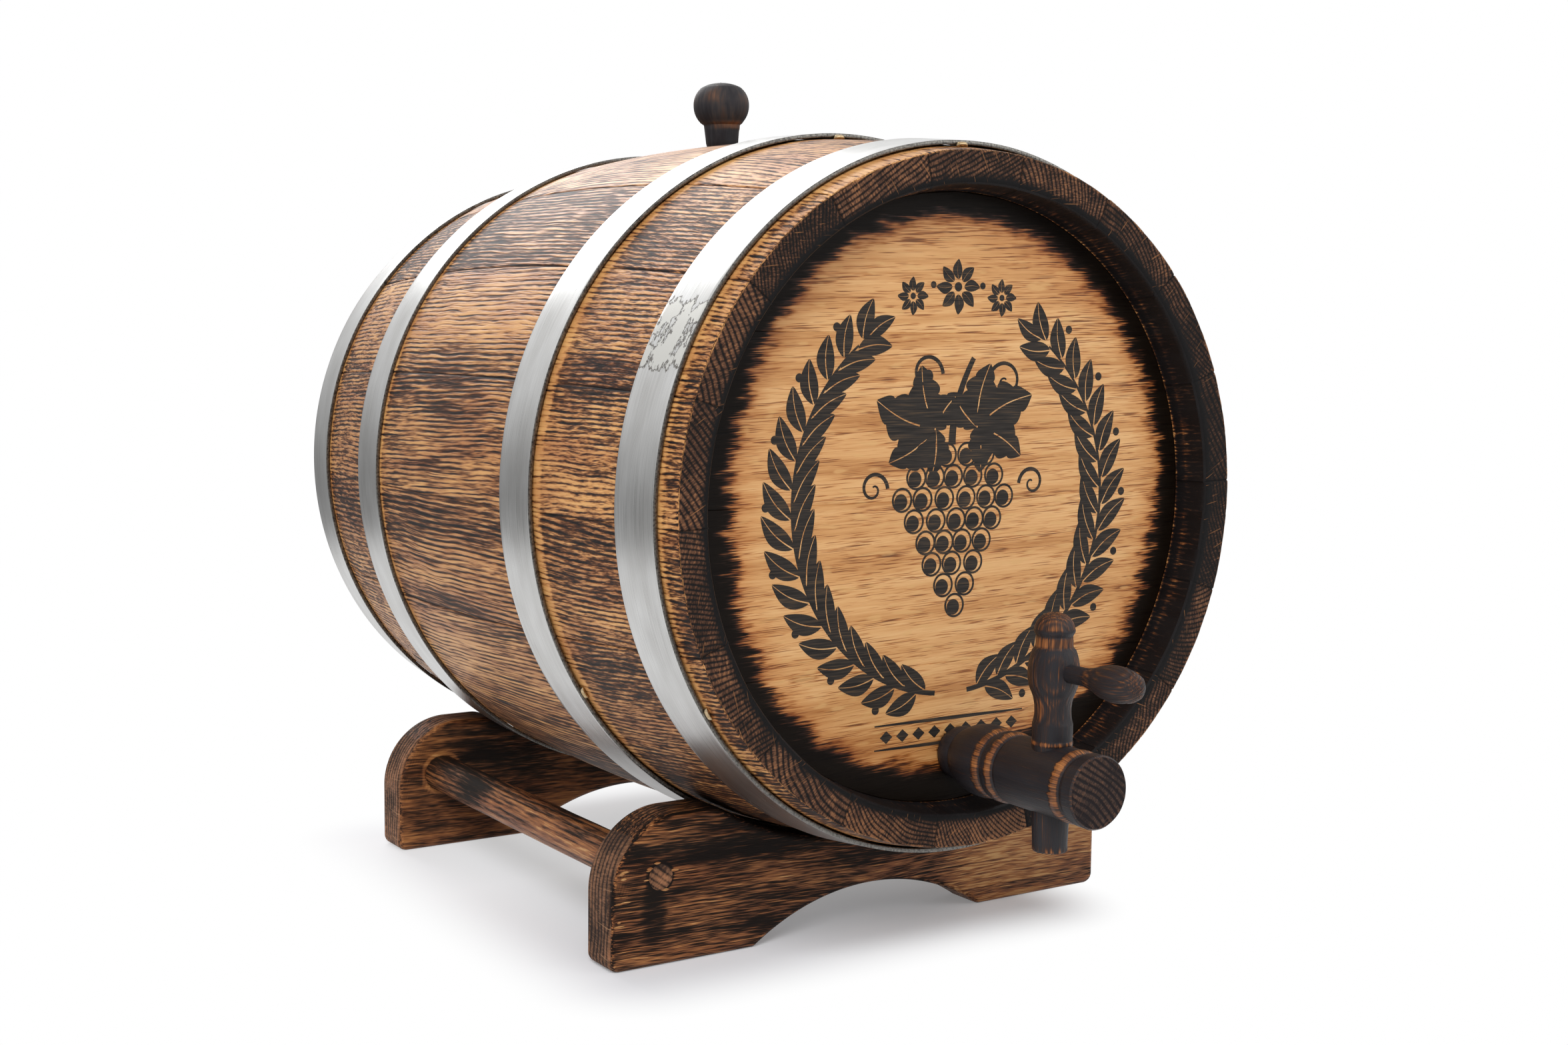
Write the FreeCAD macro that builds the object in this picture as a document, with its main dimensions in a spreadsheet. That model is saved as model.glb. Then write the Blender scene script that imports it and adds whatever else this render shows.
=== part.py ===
"""Oak cask liquor dispenser on a two-board cradle, as a parametric assembly in millimetres.

Frame: +Z up, the tapped head faces -Y, +X to the right of someone facing that head.
The origin is on the floor, under the middle of the bounding box.
The cask is built about its own axis: y = 0 is the front chime's end plane, z is the radius.
"""
import FreeCAD
import Part
import Sketcher
import math
import os

V = FreeCAD.Vector
doc = FreeCAD.newDocument("cask_dispenser")

# ---------------------------------------------------------------- driving dimensions (mm, degrees)
DIMS = [
    # cask
    ("front_plane_y", -121.0, "front chime end plane in the frame of the part"),
    ("axis_z", 164.0, "height of the cask axis over the floor"),
    ("cask_length", 320.0, "chime to chime"),
    ("end_r", 120.0, "outer radius at the chimes"),
    ("bilge_r", 132.0, "outer radius at the bilge"),
    ("stave_count", 18.0, "staves round the cask"),
    ("first_joint", 2.0, "angle of the first stave joint from +X"),
    ("stave_gap", 0.02, "angular gap of a stave joint"),
    ("bilge_inner_r", 116.5, "inner radius at the bilge"),
    ("chime_inner_r", 108.7, "inner radius of the chime's end face"),
    ("head_r", 106.6, "inner radius where the stave meets the head's face"),
    ("head_depth", 14.0, "head's outer face behind the chime end"),
    ("head_thick", 13.0, "thickness of a head"),
    ("croze_r", 110.2, "bottom radius of the croze groove"),
    ("croze_front", 17.0, "croze bottom starts behind the chime end"),
    ("croze_width", 6.0, "width of the croze bottom"),
    ("croze_end", 26.0, "croze's inner lip behind the chime end"),
    ("croze_lip_r", 107.5, "radius of that lip"),
    ("rim_r", 110.0, "outer radius of a head"),
    ("rim_slack", 0.1, "axial play of the head's rim in the croze"),
    ("joint_low", -57.0, "lowest head board joint from the axis"),
    ("joint_mid", 0.5, "middle head board joint"),
    ("joint_high", 58.0, "highest head board joint"),
    # hoops
    ("hoop_width", 21.5, "hoop strip width"),
    ("hoop_thick", 1.5, "hoop strip thickness"),
    ("hoop_seat", 0.1, "hoop to stave on the bilge side"),
    ("hoop_lift", 0.7, "hoop to stave on the chime side"),
    ("chime_hoop_y", 9.0, "chime hoop's outer edge behind the chime end"),
    ("bilge_hoop_y", 81.5, "bilge hoop's outer edge behind the chime end"),
    ("nail_count", 3.0, "nails on a hoop"),
    ("nail_angle", 92.0, "angle of the first nail from +X"),
    ("nail_r", 0.8, "radius of the nail's bent head"),
    ("nail_length", 4.0, "length of the bent head along the hoop"),
    # bung
    ("bung_y", 163.0, "bung axis behind the chime end"),
    ("bung_hole_low_r", 5.69, "bung hole radius at radius 110"),
    ("bung_hole_high_r", 6.54, "bung hole radius at radius 135"),
    ("bung_knob_r", 11.4, "radius of the bung's knob"),
    ("bung_top", 157.6, "top of the bung from the cask axis"),
    # tap
    ("tap_x", 3.0, "tap axis to the right of the cask axis"),
    ("tap_z", 74.6, "tap axis over the floor"),
    ("tap_tail_y", 52.0, "tail end behind the chime end"),
    ("tap_front_y", -60.1, "front end face of the tap"),
    ("tap_barrel_r", 12.3, "radius of the tap's barrel"),
    ("tap_front_r", 12.5, "radius of the front disc"),
    ("tap_bulb_r", 12.85, "radius of the rear bulb"),
    ("tap_seat_r", 8.25, "shank radius at the head's outer face"),
    ("tap_tail_r", 7.0, "shank radius at the tail"),
    ("tap_fit", 0.05, "radial play of the shank in the head"),
    ("passage_r", 3.2, "radius of the liquor passage"),
    ("key_y", -36.7, "key axis from the chime end plane"),
    ("key_bottom", 50.3, "spout end over the floor"),
    ("key_top", 130.7, "top of the key's dome"),
    ("key_low_r", 6.45, "plug radius at its lower end"),
    ("key_high_r", 6.9, "plug radius at its upper end"),
    ("key_fit", 0.06, "radial play of the key in the tap"),
    ("outlet_r", 3.5, "radius of the outlet bore"),
    ("outlet_top", 77.6, "blind end of the outlet bore"),
    ("port_r", 3.0, "radius of the key's side port"),
    ("handle_z", 111.3, "handle axis over the floor"),
    ("handle_r", 3.3, "radius of the handle's shank"),
    ("handle_bulb_r", 6.15, "radius of the handle's bulb"),
    ("handle_tip", 41.3, "handle tip from the key axis"),
    ("socket_play", 0.03, "radial play of the handle in its socket"),
    # cradle
    ("board_half", 111.3, "half width of a cradle board"),
    ("board_thick", 18.0, "thickness of a cradle board"),
    ("board_top", 54.0, "height of the lobes"),
    ("lobe_r", 28.0, "radius of the lobes' outer corners"),
    ("saddle_r", 129.2, "radius of the saddle"),
    ("foot_in", 51.8, "inner corner of a foot from the middle"),
    ("arch_high", 16.2, "height of the arch"),
    ("saddle_round", 5.0, "rounding where lobe meets saddle"),
    ("edge_round", 2.0, "rounding of the boards' edges"),
    ("front_board_y", -62.0, "front board's front face"),
    ("rear_board_y", 126.0, "rear board's front face"),
    ("rail_x", 91.5, "rail axis from the middle"),
    ("rail_z", 32.0, "rail axis over the floor"),
    ("rail_r", 7.75, "radius of a rail"),
    ("tenon_r", 4.8, "radius of a rail's tenon"),
    ("rail_seat", 2.0, "depth a rail's full round goes into a board"),
    ("rail_play", 0.05, "radial play of a rail in its seat"),
    ("seat_flare", 1.5, "chamfer round a rail's seat"),
]
sheet = doc.addObject("Spreadsheet::Sheet", "dims")
for row, (alias, value, note) in enumerate(DIMS, start=1):
    sheet.set("A%d" % row, alias)
    sheet.set("B%d" % row, str(value))
    sheet.set("C%d" % row, note)
    sheet.setAlias("B%d" % row, alias)
doc.recompute()
SIZE = {alias: value for alias, value, note in DIMS}


# ---------------------------------------------------------------- builders
def bound(text):
    """An expression with every sheet alias in it turned into a reference to the sheet."""
    words, word = [], ""
    for letter in text + " ":
        if letter.isalnum() or letter == "_":
            word += letter
        else:
            words.append("dims." + word if word in SIZE else word)
            words.append(letter)
            word = ""
    return "".join(words).strip()


def value_of(holder, text):
    result = holder.evalExpression(bound(text))
    return float(getattr(result, "Value", result))


def new_body(node):
    body = doc.addObject("PartDesign::Body", node)
    body.Label = node
    return body


def new_sketch(body, name, plane, offset=None):
    """A sketch on one of the body's own origin planes, shifted in that plane's own axes."""
    sk = body.newObject("Sketcher::SketchObject", name)
    origin = [f for f in body.Origin.OriginFeatures if f.Role == plane][0]
    sk.AttachmentSupport = [(origin, "")]
    sk.MapMode = "FlatFace"
    if offset:
        for axis, text in zip("xyz", offset):
            if text:
                sk.setExpression("AttachmentOffset.Base." + axis, bound(text))
    return sk


def place_vertex(sk, geo, pos, corner):
    """Hold one point of the sketch at the two expressions of its corner."""
    for kind, text in zip(("DistanceX", "DistanceY"), corner):
        number = sk.addConstraint(Sketcher.Constraint(kind, -1, 1, geo, pos, value_of(sk, text)))
        sk.setExpression("Constraints[%d]" % number, bound(text))


def outline(sk, corners):
    """Closed outline. A corner is (x, y), or (x, y, via_x, via_y) when the edge that leaves it
    is an arc through the via point."""
    xy = [V(value_of(sk, c[0]), value_of(sk, c[1]), 0) for c in corners]
    ends = []
    for i, corner in enumerate(corners):
        a, b = xy[i], xy[(i + 1) % len(xy)]
        if len(corner) == 4:
            via = V(value_of(sk, corner[2]), value_of(sk, corner[3]), 0)
            geo = sk.addGeometry(Part.Arc(a, via, b), False)
            swapped = sk.getPoint(geo, 1).distanceToPoint(a) > sk.getPoint(geo, 2).distanceToPoint(a)
            ends.append((geo, 2, 1) if swapped else (geo, 1, 2))
        else:
            geo = sk.addGeometry(Part.LineSegment(a, b), False)
            ends.append((geo, 1, 2))
    for i in range(len(ends)):
        geo, start, _ = ends[i]
        before, _, end = ends[i - 1]
        sk.addConstraint(Sketcher.Constraint("Coincident", before, end, geo, start))
        place_vertex(sk, geo, start, corners[i])
    for i, corner in enumerate(corners):
        if len(corner) == 4:
            via = V(value_of(sk, corner[2]), value_of(sk, corner[3]), 0)
            point = sk.addGeometry(Part.Point(via), True)
            place_vertex(sk, point, 1, corner[2:])
            sk.addConstraint(Sketcher.Constraint("PointOnObject", point, 1, ends[i][0]))


def circle(sk, x, y, radius):
    geo = sk.addGeometry(Part.Circle(V(value_of(sk, x), value_of(sk, y), 0), V(0, 0, 1),
                                     value_of(sk, radius)), False)
    place_vertex(sk, geo, 3, (x, y))
    number = sk.addConstraint(Sketcher.Constraint("Radius", geo, value_of(sk, radius)))
    sk.setExpression("Constraints[%d]" % number, bound(radius))


def turned(body, kind, name, corners, plane="YZ_Plane", axis="H_Axis", angle=None, offset=None):
    """A revolved feature (Revolution or Groove) of an outline about a sketch axis."""
    sk = new_sketch(body, name + "_profile", plane, offset)
    outline(sk, corners)
    feature = body.newObject("PartDesign::" + kind, name)
    feature.Profile = sk
    feature.ReferenceAxis = (sk, [axis])
    feature.Angle = 360.0
    if angle:
        feature.Midplane = True
        feature.setExpression("Angle", bound(angle))
    body.Tip = feature
    return feature


def drilled(body, name, plane, x, y, radius, length=None, offset=None, reverse=False):
    """A round Pocket, through to the outside when no length is given."""
    sk = new_sketch(body, name + "_circle", plane, offset)
    circle(sk, x, y, radius)
    feature = body.newObject("PartDesign::Pocket", name)
    feature.Profile = sk
    feature.Reversed = reverse
    if length:
        feature.setExpression("Length", bound(length))
    else:
        feature.Type = "ThroughAll"
    body.Tip = feature
    return feature


def place(thing, x=None, y=None, z=None, turn=None):
    """Bind an object's placement. turn is an angle about +Y."""
    if turn:
        thing.Placement = FreeCAD.Placement(V(0, 0, 0), FreeCAD.Rotation(V(0, 1, 0), 1.0))
        thing.setExpression("Placement.Rotation.Angle", bound(turn))
    for axis, text in zip("xyz", (x, y, z)):
        if text:
            thing.setExpression("Placement.Base." + axis, bound(text))


nodes = []


def along_cask(body, turn=None):
    place(body, y="front_plane_y", z="axis_z", turn=turn)
    nodes.append(body)


def mirrored_y(text):
    """The same distance counted from the rear chime."""
    return "cask_length - (%s)" % text


# Outer radius of the staves at a distance y from the chime end: a parabola close to the arc.
def stave_r(text):
    return "bilge_r - (bilge_r - end_r) * (1 - 2 * (%s) / cask_length)^2" % text


# ---------------------------------------------------------------- staves
front_inside = [
    ("0", "chime_inner_r"), ("head_depth", "head_r"), ("croze_front", "croze_r"),
    ("croze_front + croze_width", "croze_r"),
    ("croze_end", "croze_lip_r", "cask_length / 2", "bilge_inner_r"),
]
rear_inside = [(mirrored_y(c[0]), c[1]) for c in reversed(front_inside)]
STAVE = front_inside + rear_inside + [
    ("cask_length", "end_r", "cask_length / 2", "bilge_r"), ("0", "end_r")]

for index in range(int(SIZE["stave_count"])):
    stave = new_body("stave_%02d" % (index + 1))
    turned(stave, "Revolution", "Stave%02d" % (index + 1), STAVE,
           angle="360 / stave_count - stave_gap")
    # The fifth stave is at the top and holds the tapered bung hole.
    if index == 4:
        turned(stave, "Groove", "BungHole",
               [("0", "110"), ("bung_hole_low_r", "110"), ("bung_hole_high_r", "135"), ("0", "135")],
               axis="V_Axis", offset=("bung_y", None, None))
    along_cask(stave, turn="90 - first_joint - %d.5 * 360 / stave_count" % index)

# ---------------------------------------------------------------- heads
joints = ["joint_low", "joint_mid", "joint_high"]


def chord(text):
    """Half the width of the head at a height over its middle."""
    return "sqrt(rim_r^2 - (%s)^2)" % text


def head_outline(low, high):
    """Outline of one head board between two joints, or out to the rim where there is none."""
    if low is None:
        return [(chord(high), high, "0", "-rim_r"), ("-" + chord(high), high)]
    if high is None:
        return [("-" + chord(low), low, "0", "rim_r"), (chord(low), low)]
    middle = "((%s) + (%s)) / 2" % (low, high)
    return [("-" + chord(high), high), (chord(high), high, chord(middle), middle),
            (chord(low), low), ("-" + chord(low), low, "-" + chord(middle), middle)]


for end in ("front", "rear"):
    for number, (low, high) in enumerate(zip([None] + joints, joints + [None]), start=1):
        board = new_body("%s_head_%d" % (end, number))
        tag = "%sHead%d" % (end.capitalize(), number)
        sk = new_sketch(board, tag + "_outline", "XZ_Plane", offset=(None, None, "-head_depth"))
        outline(sk, head_outline(low, high))
        pad = board.newObject("PartDesign::Pad", tag)
        pad.Profile = sk
        pad.Reversed = True
        pad.setExpression("Length", bound("head_thick"))
        board.Tip = pad
        # Both sides of the rim are bevelled down to the width of the croze.
        turned(board, "Groove", tag + "_OuterBevel",
               [("head_depth - 1", "head_r - 1.6"), ("croze_front + rim_slack", "rim_r"),
                ("croze_front + rim_slack", "rim_r + 2"), ("head_depth - 1", "rim_r + 2")])
        turned(board, "Groove", tag + "_InnerBevel",
               [("croze_front + croze_width - rim_slack", "rim_r"),
                ("head_depth + head_thick + 1", "head_r - 2.5"),
                ("head_depth + head_thick + 1", "rim_r + 2"),
                ("croze_front + croze_width - rim_slack", "rim_r + 2")])
        # The lowest front board is bored for the tap, with the taper of its shank.
        if end == "front" and low is None:
            slope = "(tap_seat_r - tap_tail_r) / (tap_tail_y - 1 - head_depth)"
            turned(board, "Groove", "TapHole",
                   [("head_depth - 1", "0"),
                    ("head_depth - 1", "tap_seat_r + tap_fit + %s" % slope),
                    ("head_depth + head_thick + 1",
                     "tap_seat_r + tap_fit - %s * (head_thick + 1)" % slope),
                    ("head_depth + head_thick + 1", "0")],
                   offset=(None, "tap_z - axis_z", "tap_x"))
        nodes.append(board)
        if end == "front":
            place(board, y="front_plane_y", z="axis_z")
        else:
            # The rear head is the front one turned end for end about the vertical.
            board.Placement = FreeCAD.Placement(V(0, 0, 0), FreeCAD.Rotation(V(0, 0, 1), 180))
            place(board, y="front_plane_y + cask_length", z="axis_z")


# ---------------------------------------------------------------- hoops and their nails
def hoop_strip(edge):
    """Slanted strip from its chime side edge towards the bilge, standing off at the chime side."""
    inner = "%s + hoop_width" % edge
    low, high = stave_r(edge) + " + hoop_lift", stave_r(inner) + " + hoop_seat"
    return [(edge, low), (inner, high), (inner, high + " + hoop_thick"), (edge, low + " + hoop_thick")]


for end in ("front", "rear"):
    for kind in ("chime", "bilge"):
        hoop = new_body("%s_%s_hoop" % (end, kind))
        corners = hoop_strip(kind + "_hoop_y")
        if end == "rear":
            corners = [(mirrored_y(y), r) for y, r in corners]
        turned(hoop, "Revolution", "%s%sHoop" % (end.capitalize(), kind.capitalize()), corners)
        along_cask(hoop)

# Bent nail heads lie along each hoop's chime side edge, on the wood.
heads = []
for kind in ("chime", "bilge"):
    edge = SIZE[kind + "_hoop_y"]
    bulge = SIZE["bilge_r"] - SIZE["end_r"]
    near_edge = edge - SIZE["nail_r"] - 0.05
    wood = SIZE["bilge_r"] - bulge * (1 - 2 * near_edge / SIZE["cask_length"]) ** 2
    for y in (near_edge, SIZE["cask_length"] - near_edge):
        for turn in range(int(SIZE["nail_count"])):
            angle = SIZE["nail_angle"] + 360.0 * turn / SIZE["nail_count"]
            half = SIZE["nail_length"] / 2
            # The bar is straight on a round cask, so its middle clears the wood by the sagitta.
            height = wood + SIZE["nail_r"] + 0.05
            bar = Part.makeCylinder(SIZE["nail_r"], 2 * half, V(-half, y, height), V(1, 0, 0))
            ends = [Part.makeSphere(SIZE["nail_r"], V(x, y, height)) for x in (-half, half)]
            nail = bar.fuse(ends).removeSplitter()
            nail.rotate(V(0, 0, 0), V(0, 1, 0), 90 - angle)
            heads.append(nail)
nails = doc.addObject("Part::Feature", "hoop_nails")
nails.Label = "hoop_nails"
nails.Shape = Part.makeCompound(heads)
along_cask(nails)

# ---------------------------------------------------------------- bung
bung = new_body("bung")
turned(bung, "Revolution", "Bung", [
    ("0", "113.2"), ("5.3", "113.2"), ("bung_hole_low_r + 0.034 * 3.6 - 0.065", "113.6"),
    ("bung_hole_low_r + 0.034 * 22 - 0.065", "132"), ("7", "141.2"),
    ("8.4", "141.5", "bung_knob_r", "148.6"), ("6.4", "156.5", "3.6", "157.3"),
    ("0.8", "bung_top"), ("0", "bung_top")],
    axis="V_Axis", offset=("bung_y", None, None))
along_cask(bung, turn="90 - first_joint - 4.5 * 360 / stave_count")

# ---------------------------------------------------------------- tap
tap = new_body("tap_body")
turned(tap, "Revolution", "Tap", [
    ("tap_tail_y", "0"), ("tap_tail_y", "tap_tail_r - 0.6"), ("tap_tail_y - 1", "tap_tail_r"),
    ("head_depth", "tap_seat_r"), ("head_depth - 0.05", "8.7", "10.8", "9.8"),
    ("7.6", "9.3", "-2.5", "tap_bulb_r"), ("-11.2", "12"), ("-12.4", "11.2"),
    ("-13.4", "12.3", "-15.5", "12.6"), ("-17.6", "12.3"), ("-19.3", "11.3"),
    ("-21", "tap_barrel_r - 0.15"), ("-50.8", "tap_barrel_r + 0.05"), ("-52.9", "11.3"),
    ("-55", "tap_front_r - 0.1"), ("tap_front_y + 0.7", "tap_front_r"),
    ("tap_front_y", "tap_front_r - 0.7"), ("tap_front_y", "0")])
turned(tap, "Groove", "Passage", [
    ("tap_tail_y + 1", "0"), ("tap_tail_y + 1", "passage_r"), ("key_y", "passage_r"), ("key_y", "0")])
key_slope = "(key_high_r - key_low_r) / 24.9"
turned(tap, "Groove", "KeyBore", [
    ("0", "-15"), ("key_low_r + key_fit - 2.6 * %s" % key_slope, "-15"),
    ("key_low_r + key_fit + 27.4 * %s" % key_slope, "15"), ("0", "15")],
    axis="V_Axis", offset=("key_y", None, None))
place(tap, x="tap_x", y="front_plane_y", z="tap_z")
nodes.append(tap)

# The key turns in the tap about its own upright axis. Its outlet bore runs up from the spout
# to a side port, which faces away from the passage while the handle points forward.
key = new_body("tap_key")
turned(key, "Revolution", "Key", [
    ("0", "outlet_top"), ("outlet_r", "outlet_top"), ("outlet_r", "key_bottom"),
    ("5.6", "key_bottom"), ("6.05", "key_bottom + 0.5"), ("key_low_r", "62"),
    ("key_high_r", "86.9"), ("7", "90"), ("7", "93.6", "6.3", "98.9"),
    ("7.1", "103", "8.75", "110.8"), ("7.4", "118.4"), ("6.35", "119.5"), ("6.2", "122.9"),
    ("6.75", "123.7", "7.05", "124.6"), ("6.75", "125.5", "4.5", "129.4"), ("0.8", "key_top"),
    ("0", "key_top")],
    plane="XZ_Plane", axis="V_Axis")
drilled(key, "SidePort", "YZ_Plane", "0", "tap_z", "port_r", reverse=True)
drilled(key, "HandleSocket", "XZ_Plane", "0", "handle_z", "handle_r + socket_play",
        offset=(None, None, "2.5"), reverse=True)
place(key, x="tap_x", y="front_plane_y + key_y")
nodes.append(key)

handle = new_body("tap_handle")
turned(handle, "Revolution", "Handle", [
    ("-2.6", "0"), ("-2.6", "handle_r"), ("-15", "handle_r", "-19.3", "3.9"),
    ("-22.8", "5", "-30", "handle_bulb_r"), ("-37.3", "5", "-40.2", "3.1"),
    ("-handle_tip", "0.8"), ("-handle_tip", "0")])
place(handle, x="tap_x", y="front_plane_y + key_y", z="handle_z")
nodes.append(handle)


# ---------------------------------------------------------------- cradle
def edges_where(shape, test):
    return ["Edge%d" % (i + 1) for i, edge in enumerate(shape.Edges) if test(edge)]


saddle_x = "sqrt(saddle_r^2 - (axis_z - board_top)^2)"
corner_out = "board_half - lobe_r * 0.29289"
corner_up = "board_top - lobe_r * 0.29289"
BOARD = [
    ("-board_half", "0"), ("-board_half", "board_top - lobe_r", "-(%s)" % corner_out, corner_up),
    ("lobe_r - board_half", "board_top"),
    ("-" + saddle_x, "board_top", "0", "axis_z - saddle_r"), (saddle_x, "board_top"),
    ("board_half - lobe_r", "board_top", corner_out, corner_up),
    ("board_half", "board_top - lobe_r"), ("board_half", "0"),
    ("foot_in", "0", "0", "arch_high"), ("-foot_in", "0")]

for end in ("front", "rear"):
    cradle = new_body(end + "_cradle")
    tag = end.capitalize() + "Board"
    sk = new_sketch(cradle, tag + "_outline", "XZ_Plane")
    outline(sk, BOARD)
    pad = cradle.newObject("PartDesign::Pad", tag)
    pad.Profile = sk
    pad.Reversed = True
    pad.setExpression("Length", bound("board_thick"))
    cradle.Tip = pad
    doc.recompute()
    top, thick = SIZE["board_top"], SIZE["board_thick"]
    crest = math.sqrt(SIZE["saddle_r"] ** 2 - (SIZE["axis_z"] - top) ** 2)
    lobes = cradle.newObject("PartDesign::Fillet", tag + "_Lobes")
    lobes.Base = (pad, edges_where(pad.Shape, lambda e: abs(e.CenterOfMass.z - top) < 0.01
                                   and abs(abs(e.CenterOfMass.x) - crest) < 0.01
                                   and abs(e.CenterOfMass.y - thick / 2) < 0.01))
    lobes.setExpression("Radius", bound("saddle_round"))
    cradle.Tip = lobes
    doc.recompute()
    easing = cradle.newObject("PartDesign::Fillet", tag + "_Easing")
    easing.Base = (lobes, edges_where(lobes.Shape, lambda e: e.BoundBox.YLength < 0.01))
    easing.setExpression("Radius", bound("edge_round"))
    cradle.Tip = easing
    # A rail's tenon goes right through; its full round sits in a flared seat on the inner face.
    for side, x in (("Left", "-rail_x"), ("Right", "rail_x")):
        drilled(cradle, tag + side + "Bore", "XZ_Plane", x, "rail_z", "tenon_r + rail_play",
                offset=(None, None, "1"))
        inner, into, outer = "0", "rail_seat", "-1"
        if end == "front":
            inner, into, outer = "board_thick", "board_thick - rail_seat", "board_thick + 1"
        lip = "%s - seat_flare" % inner if end == "front" else "seat_flare"
        turned(cradle, "Groove", tag + side + "Seat",
               [(into, "0"), (into, "rail_r + rail_play"), (lip, "rail_r + rail_play"),
                (outer, "rail_r + rail_play + seat_flare + 1"), (outer, "0")],
               offset=(None, "rail_z", x))
    place(cradle, y=end + "_board_y")
    nodes.append(cradle)

for side, x in (("left", "-rail_x"), ("right", "rail_x")):
    rail = new_body(side + "_rail")
    shoulder_a = "front_board_y + board_thick - rail_seat"
    shoulder_b = "rear_board_y + rail_seat"
    turned(rail, "Revolution", side.capitalize() + "Rail", [
        ("front_board_y", "0"), ("front_board_y", "tenon_r"), (shoulder_a, "tenon_r"),
        (shoulder_a, "rail_r"), (shoulder_b, "rail_r"), (shoulder_b, "tenon_r"),
        ("rear_board_y + board_thick", "tenon_r"), ("rear_board_y + board_thick", "0")])
    place(rail, x=x, z="rail_z")
    nodes.append(rail)

# ---------------------------------------------------------------- check and write
doc.recompute()
for thing in doc.Objects:
    if "Invalid" in thing.State or "Error" in thing.State:
        raise SystemExit("failed: %s %s" % (thing.Name, thing.State))
os.makedirs("parts", exist_ok=True)
box = FreeCAD.BoundBox()
for node in nodes:
    shape = node.Shape
    if shape.isNull() or not shape.isValid():
        raise SystemExit("bad shape: " + node.Label)
    shape.exportStep("parts/%s.step" % node.Label)
    box.add(shape.BoundBox)
    print("%-20s %10.0f mm3  solids %d" % (node.Label, shape.Volume, len(shape.Solids)))
print("nodes %d  box X %.2f..%.2f  Y %.2f..%.2f  Z %.2f..%.2f" % (
    len(nodes), box.XMin, box.XMax, box.YMin, box.YMax, box.ZMin, box.ZMax))
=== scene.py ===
"""Looks of the oak cask dispenser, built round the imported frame.

Shapes are worked out in millimetres in the cask's own frame (y = 0 at the front chime's end
plane, the cask's axis at x = z = 0) and turned into the frame's metres at the end.
"""
import math

import bpy
import numpy as np
from mathutils import Matrix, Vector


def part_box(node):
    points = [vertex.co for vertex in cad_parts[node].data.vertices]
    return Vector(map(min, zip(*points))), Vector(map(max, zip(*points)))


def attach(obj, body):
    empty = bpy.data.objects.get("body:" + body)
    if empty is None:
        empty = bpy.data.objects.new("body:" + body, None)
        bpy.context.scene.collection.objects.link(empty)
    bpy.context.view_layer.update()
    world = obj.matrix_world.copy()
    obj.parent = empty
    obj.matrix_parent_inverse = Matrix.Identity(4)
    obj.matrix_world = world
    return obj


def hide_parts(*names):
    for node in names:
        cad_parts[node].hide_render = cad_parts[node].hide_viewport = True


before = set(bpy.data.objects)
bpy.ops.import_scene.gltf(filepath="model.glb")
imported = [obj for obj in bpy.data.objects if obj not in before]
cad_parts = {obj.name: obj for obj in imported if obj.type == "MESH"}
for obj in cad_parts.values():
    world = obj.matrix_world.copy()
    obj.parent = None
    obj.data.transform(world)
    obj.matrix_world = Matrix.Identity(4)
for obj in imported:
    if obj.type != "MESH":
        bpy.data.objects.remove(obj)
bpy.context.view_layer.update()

MM = 0.001
TAU = 2 * math.pi

# ------------------------------------------------------------------ sizes, in millimetres
FRONT_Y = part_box("stave_01")[0].y / MM
LENGTH = (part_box("stave_01")[1].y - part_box("stave_01")[0].y) / MM
AXIS_Z = (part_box("front_bilge_hoop")[0].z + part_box("front_bilge_hoop")[1].z) / 2 / MM

END_R, BILGE_R = 120.0, 132.0
MEAN_R = (END_R + BILGE_R) / 2
STAVES = 18
FIRST_JOINT = 2.0  # degrees round from the right
# A stave's inside: where it starts behind the croze, and its radius there and at the bilge;
# then the radii of the croze, of both ends of the wall in front of the head and of the inner
# edge of the end face.
INSIDE_FROM, INSIDE_R, INSIDE_BILGE_R = 26.0, 107.5, 116.5
CROZE_R, MOUTH_R, LIP_R, FACE_R = 110.2, 106.6, 108.5, 109.7
HEAD_DEPTH, HEAD_THICK = 14.0, 13.0
CROZE_FROM, CROZE_TO = HEAD_DEPTH + 3.0, HEAD_DEPTH + 9.0
HEAD_JOINTS = (-57.0, 0.5, 58.0)

HOOP_WIDTH, HOOP_THICK, HOOP_SEAT, HOOP_LIFT = 21.5, 1.5, 0.1, 0.7
HOOP_EDGES = {"chime": 9.0, "bilge": 81.5}
WELD_AT, WELD_HALF = 152.5, 13.5  # degrees round from the right
NAILS, FIRST_NAIL = 3, 92.0  # to each hoop, and degrees round from the right

TAP_X, TAP_Z = 3.0, 74.6
KEY_Y = -36.7
HANDLE_Z = 111.3
BUNG_Y, BUNG_STAVE = 163.0, 4

BOARD_HALF, BOARD_THICK, BOARD_TOP, LOBE_R = 111.3, 18.0, 54.0, 28.0
SADDLE_R, ARCH_HIGH, FOOT_IN, FOOT_R = 129.2, 16.2, 51.8, 4.0
FRONT_BOARD_Y, REAR_BOARD_Y = -62.0, 126.0  # in the frame
RAIL_X, RAIL_Z, RAIL_R, TENON_R, TENON_LONG, TENON_PROUD = 91.5, 32.0, 7.75, 4.8, 16.0, 0.3


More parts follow.
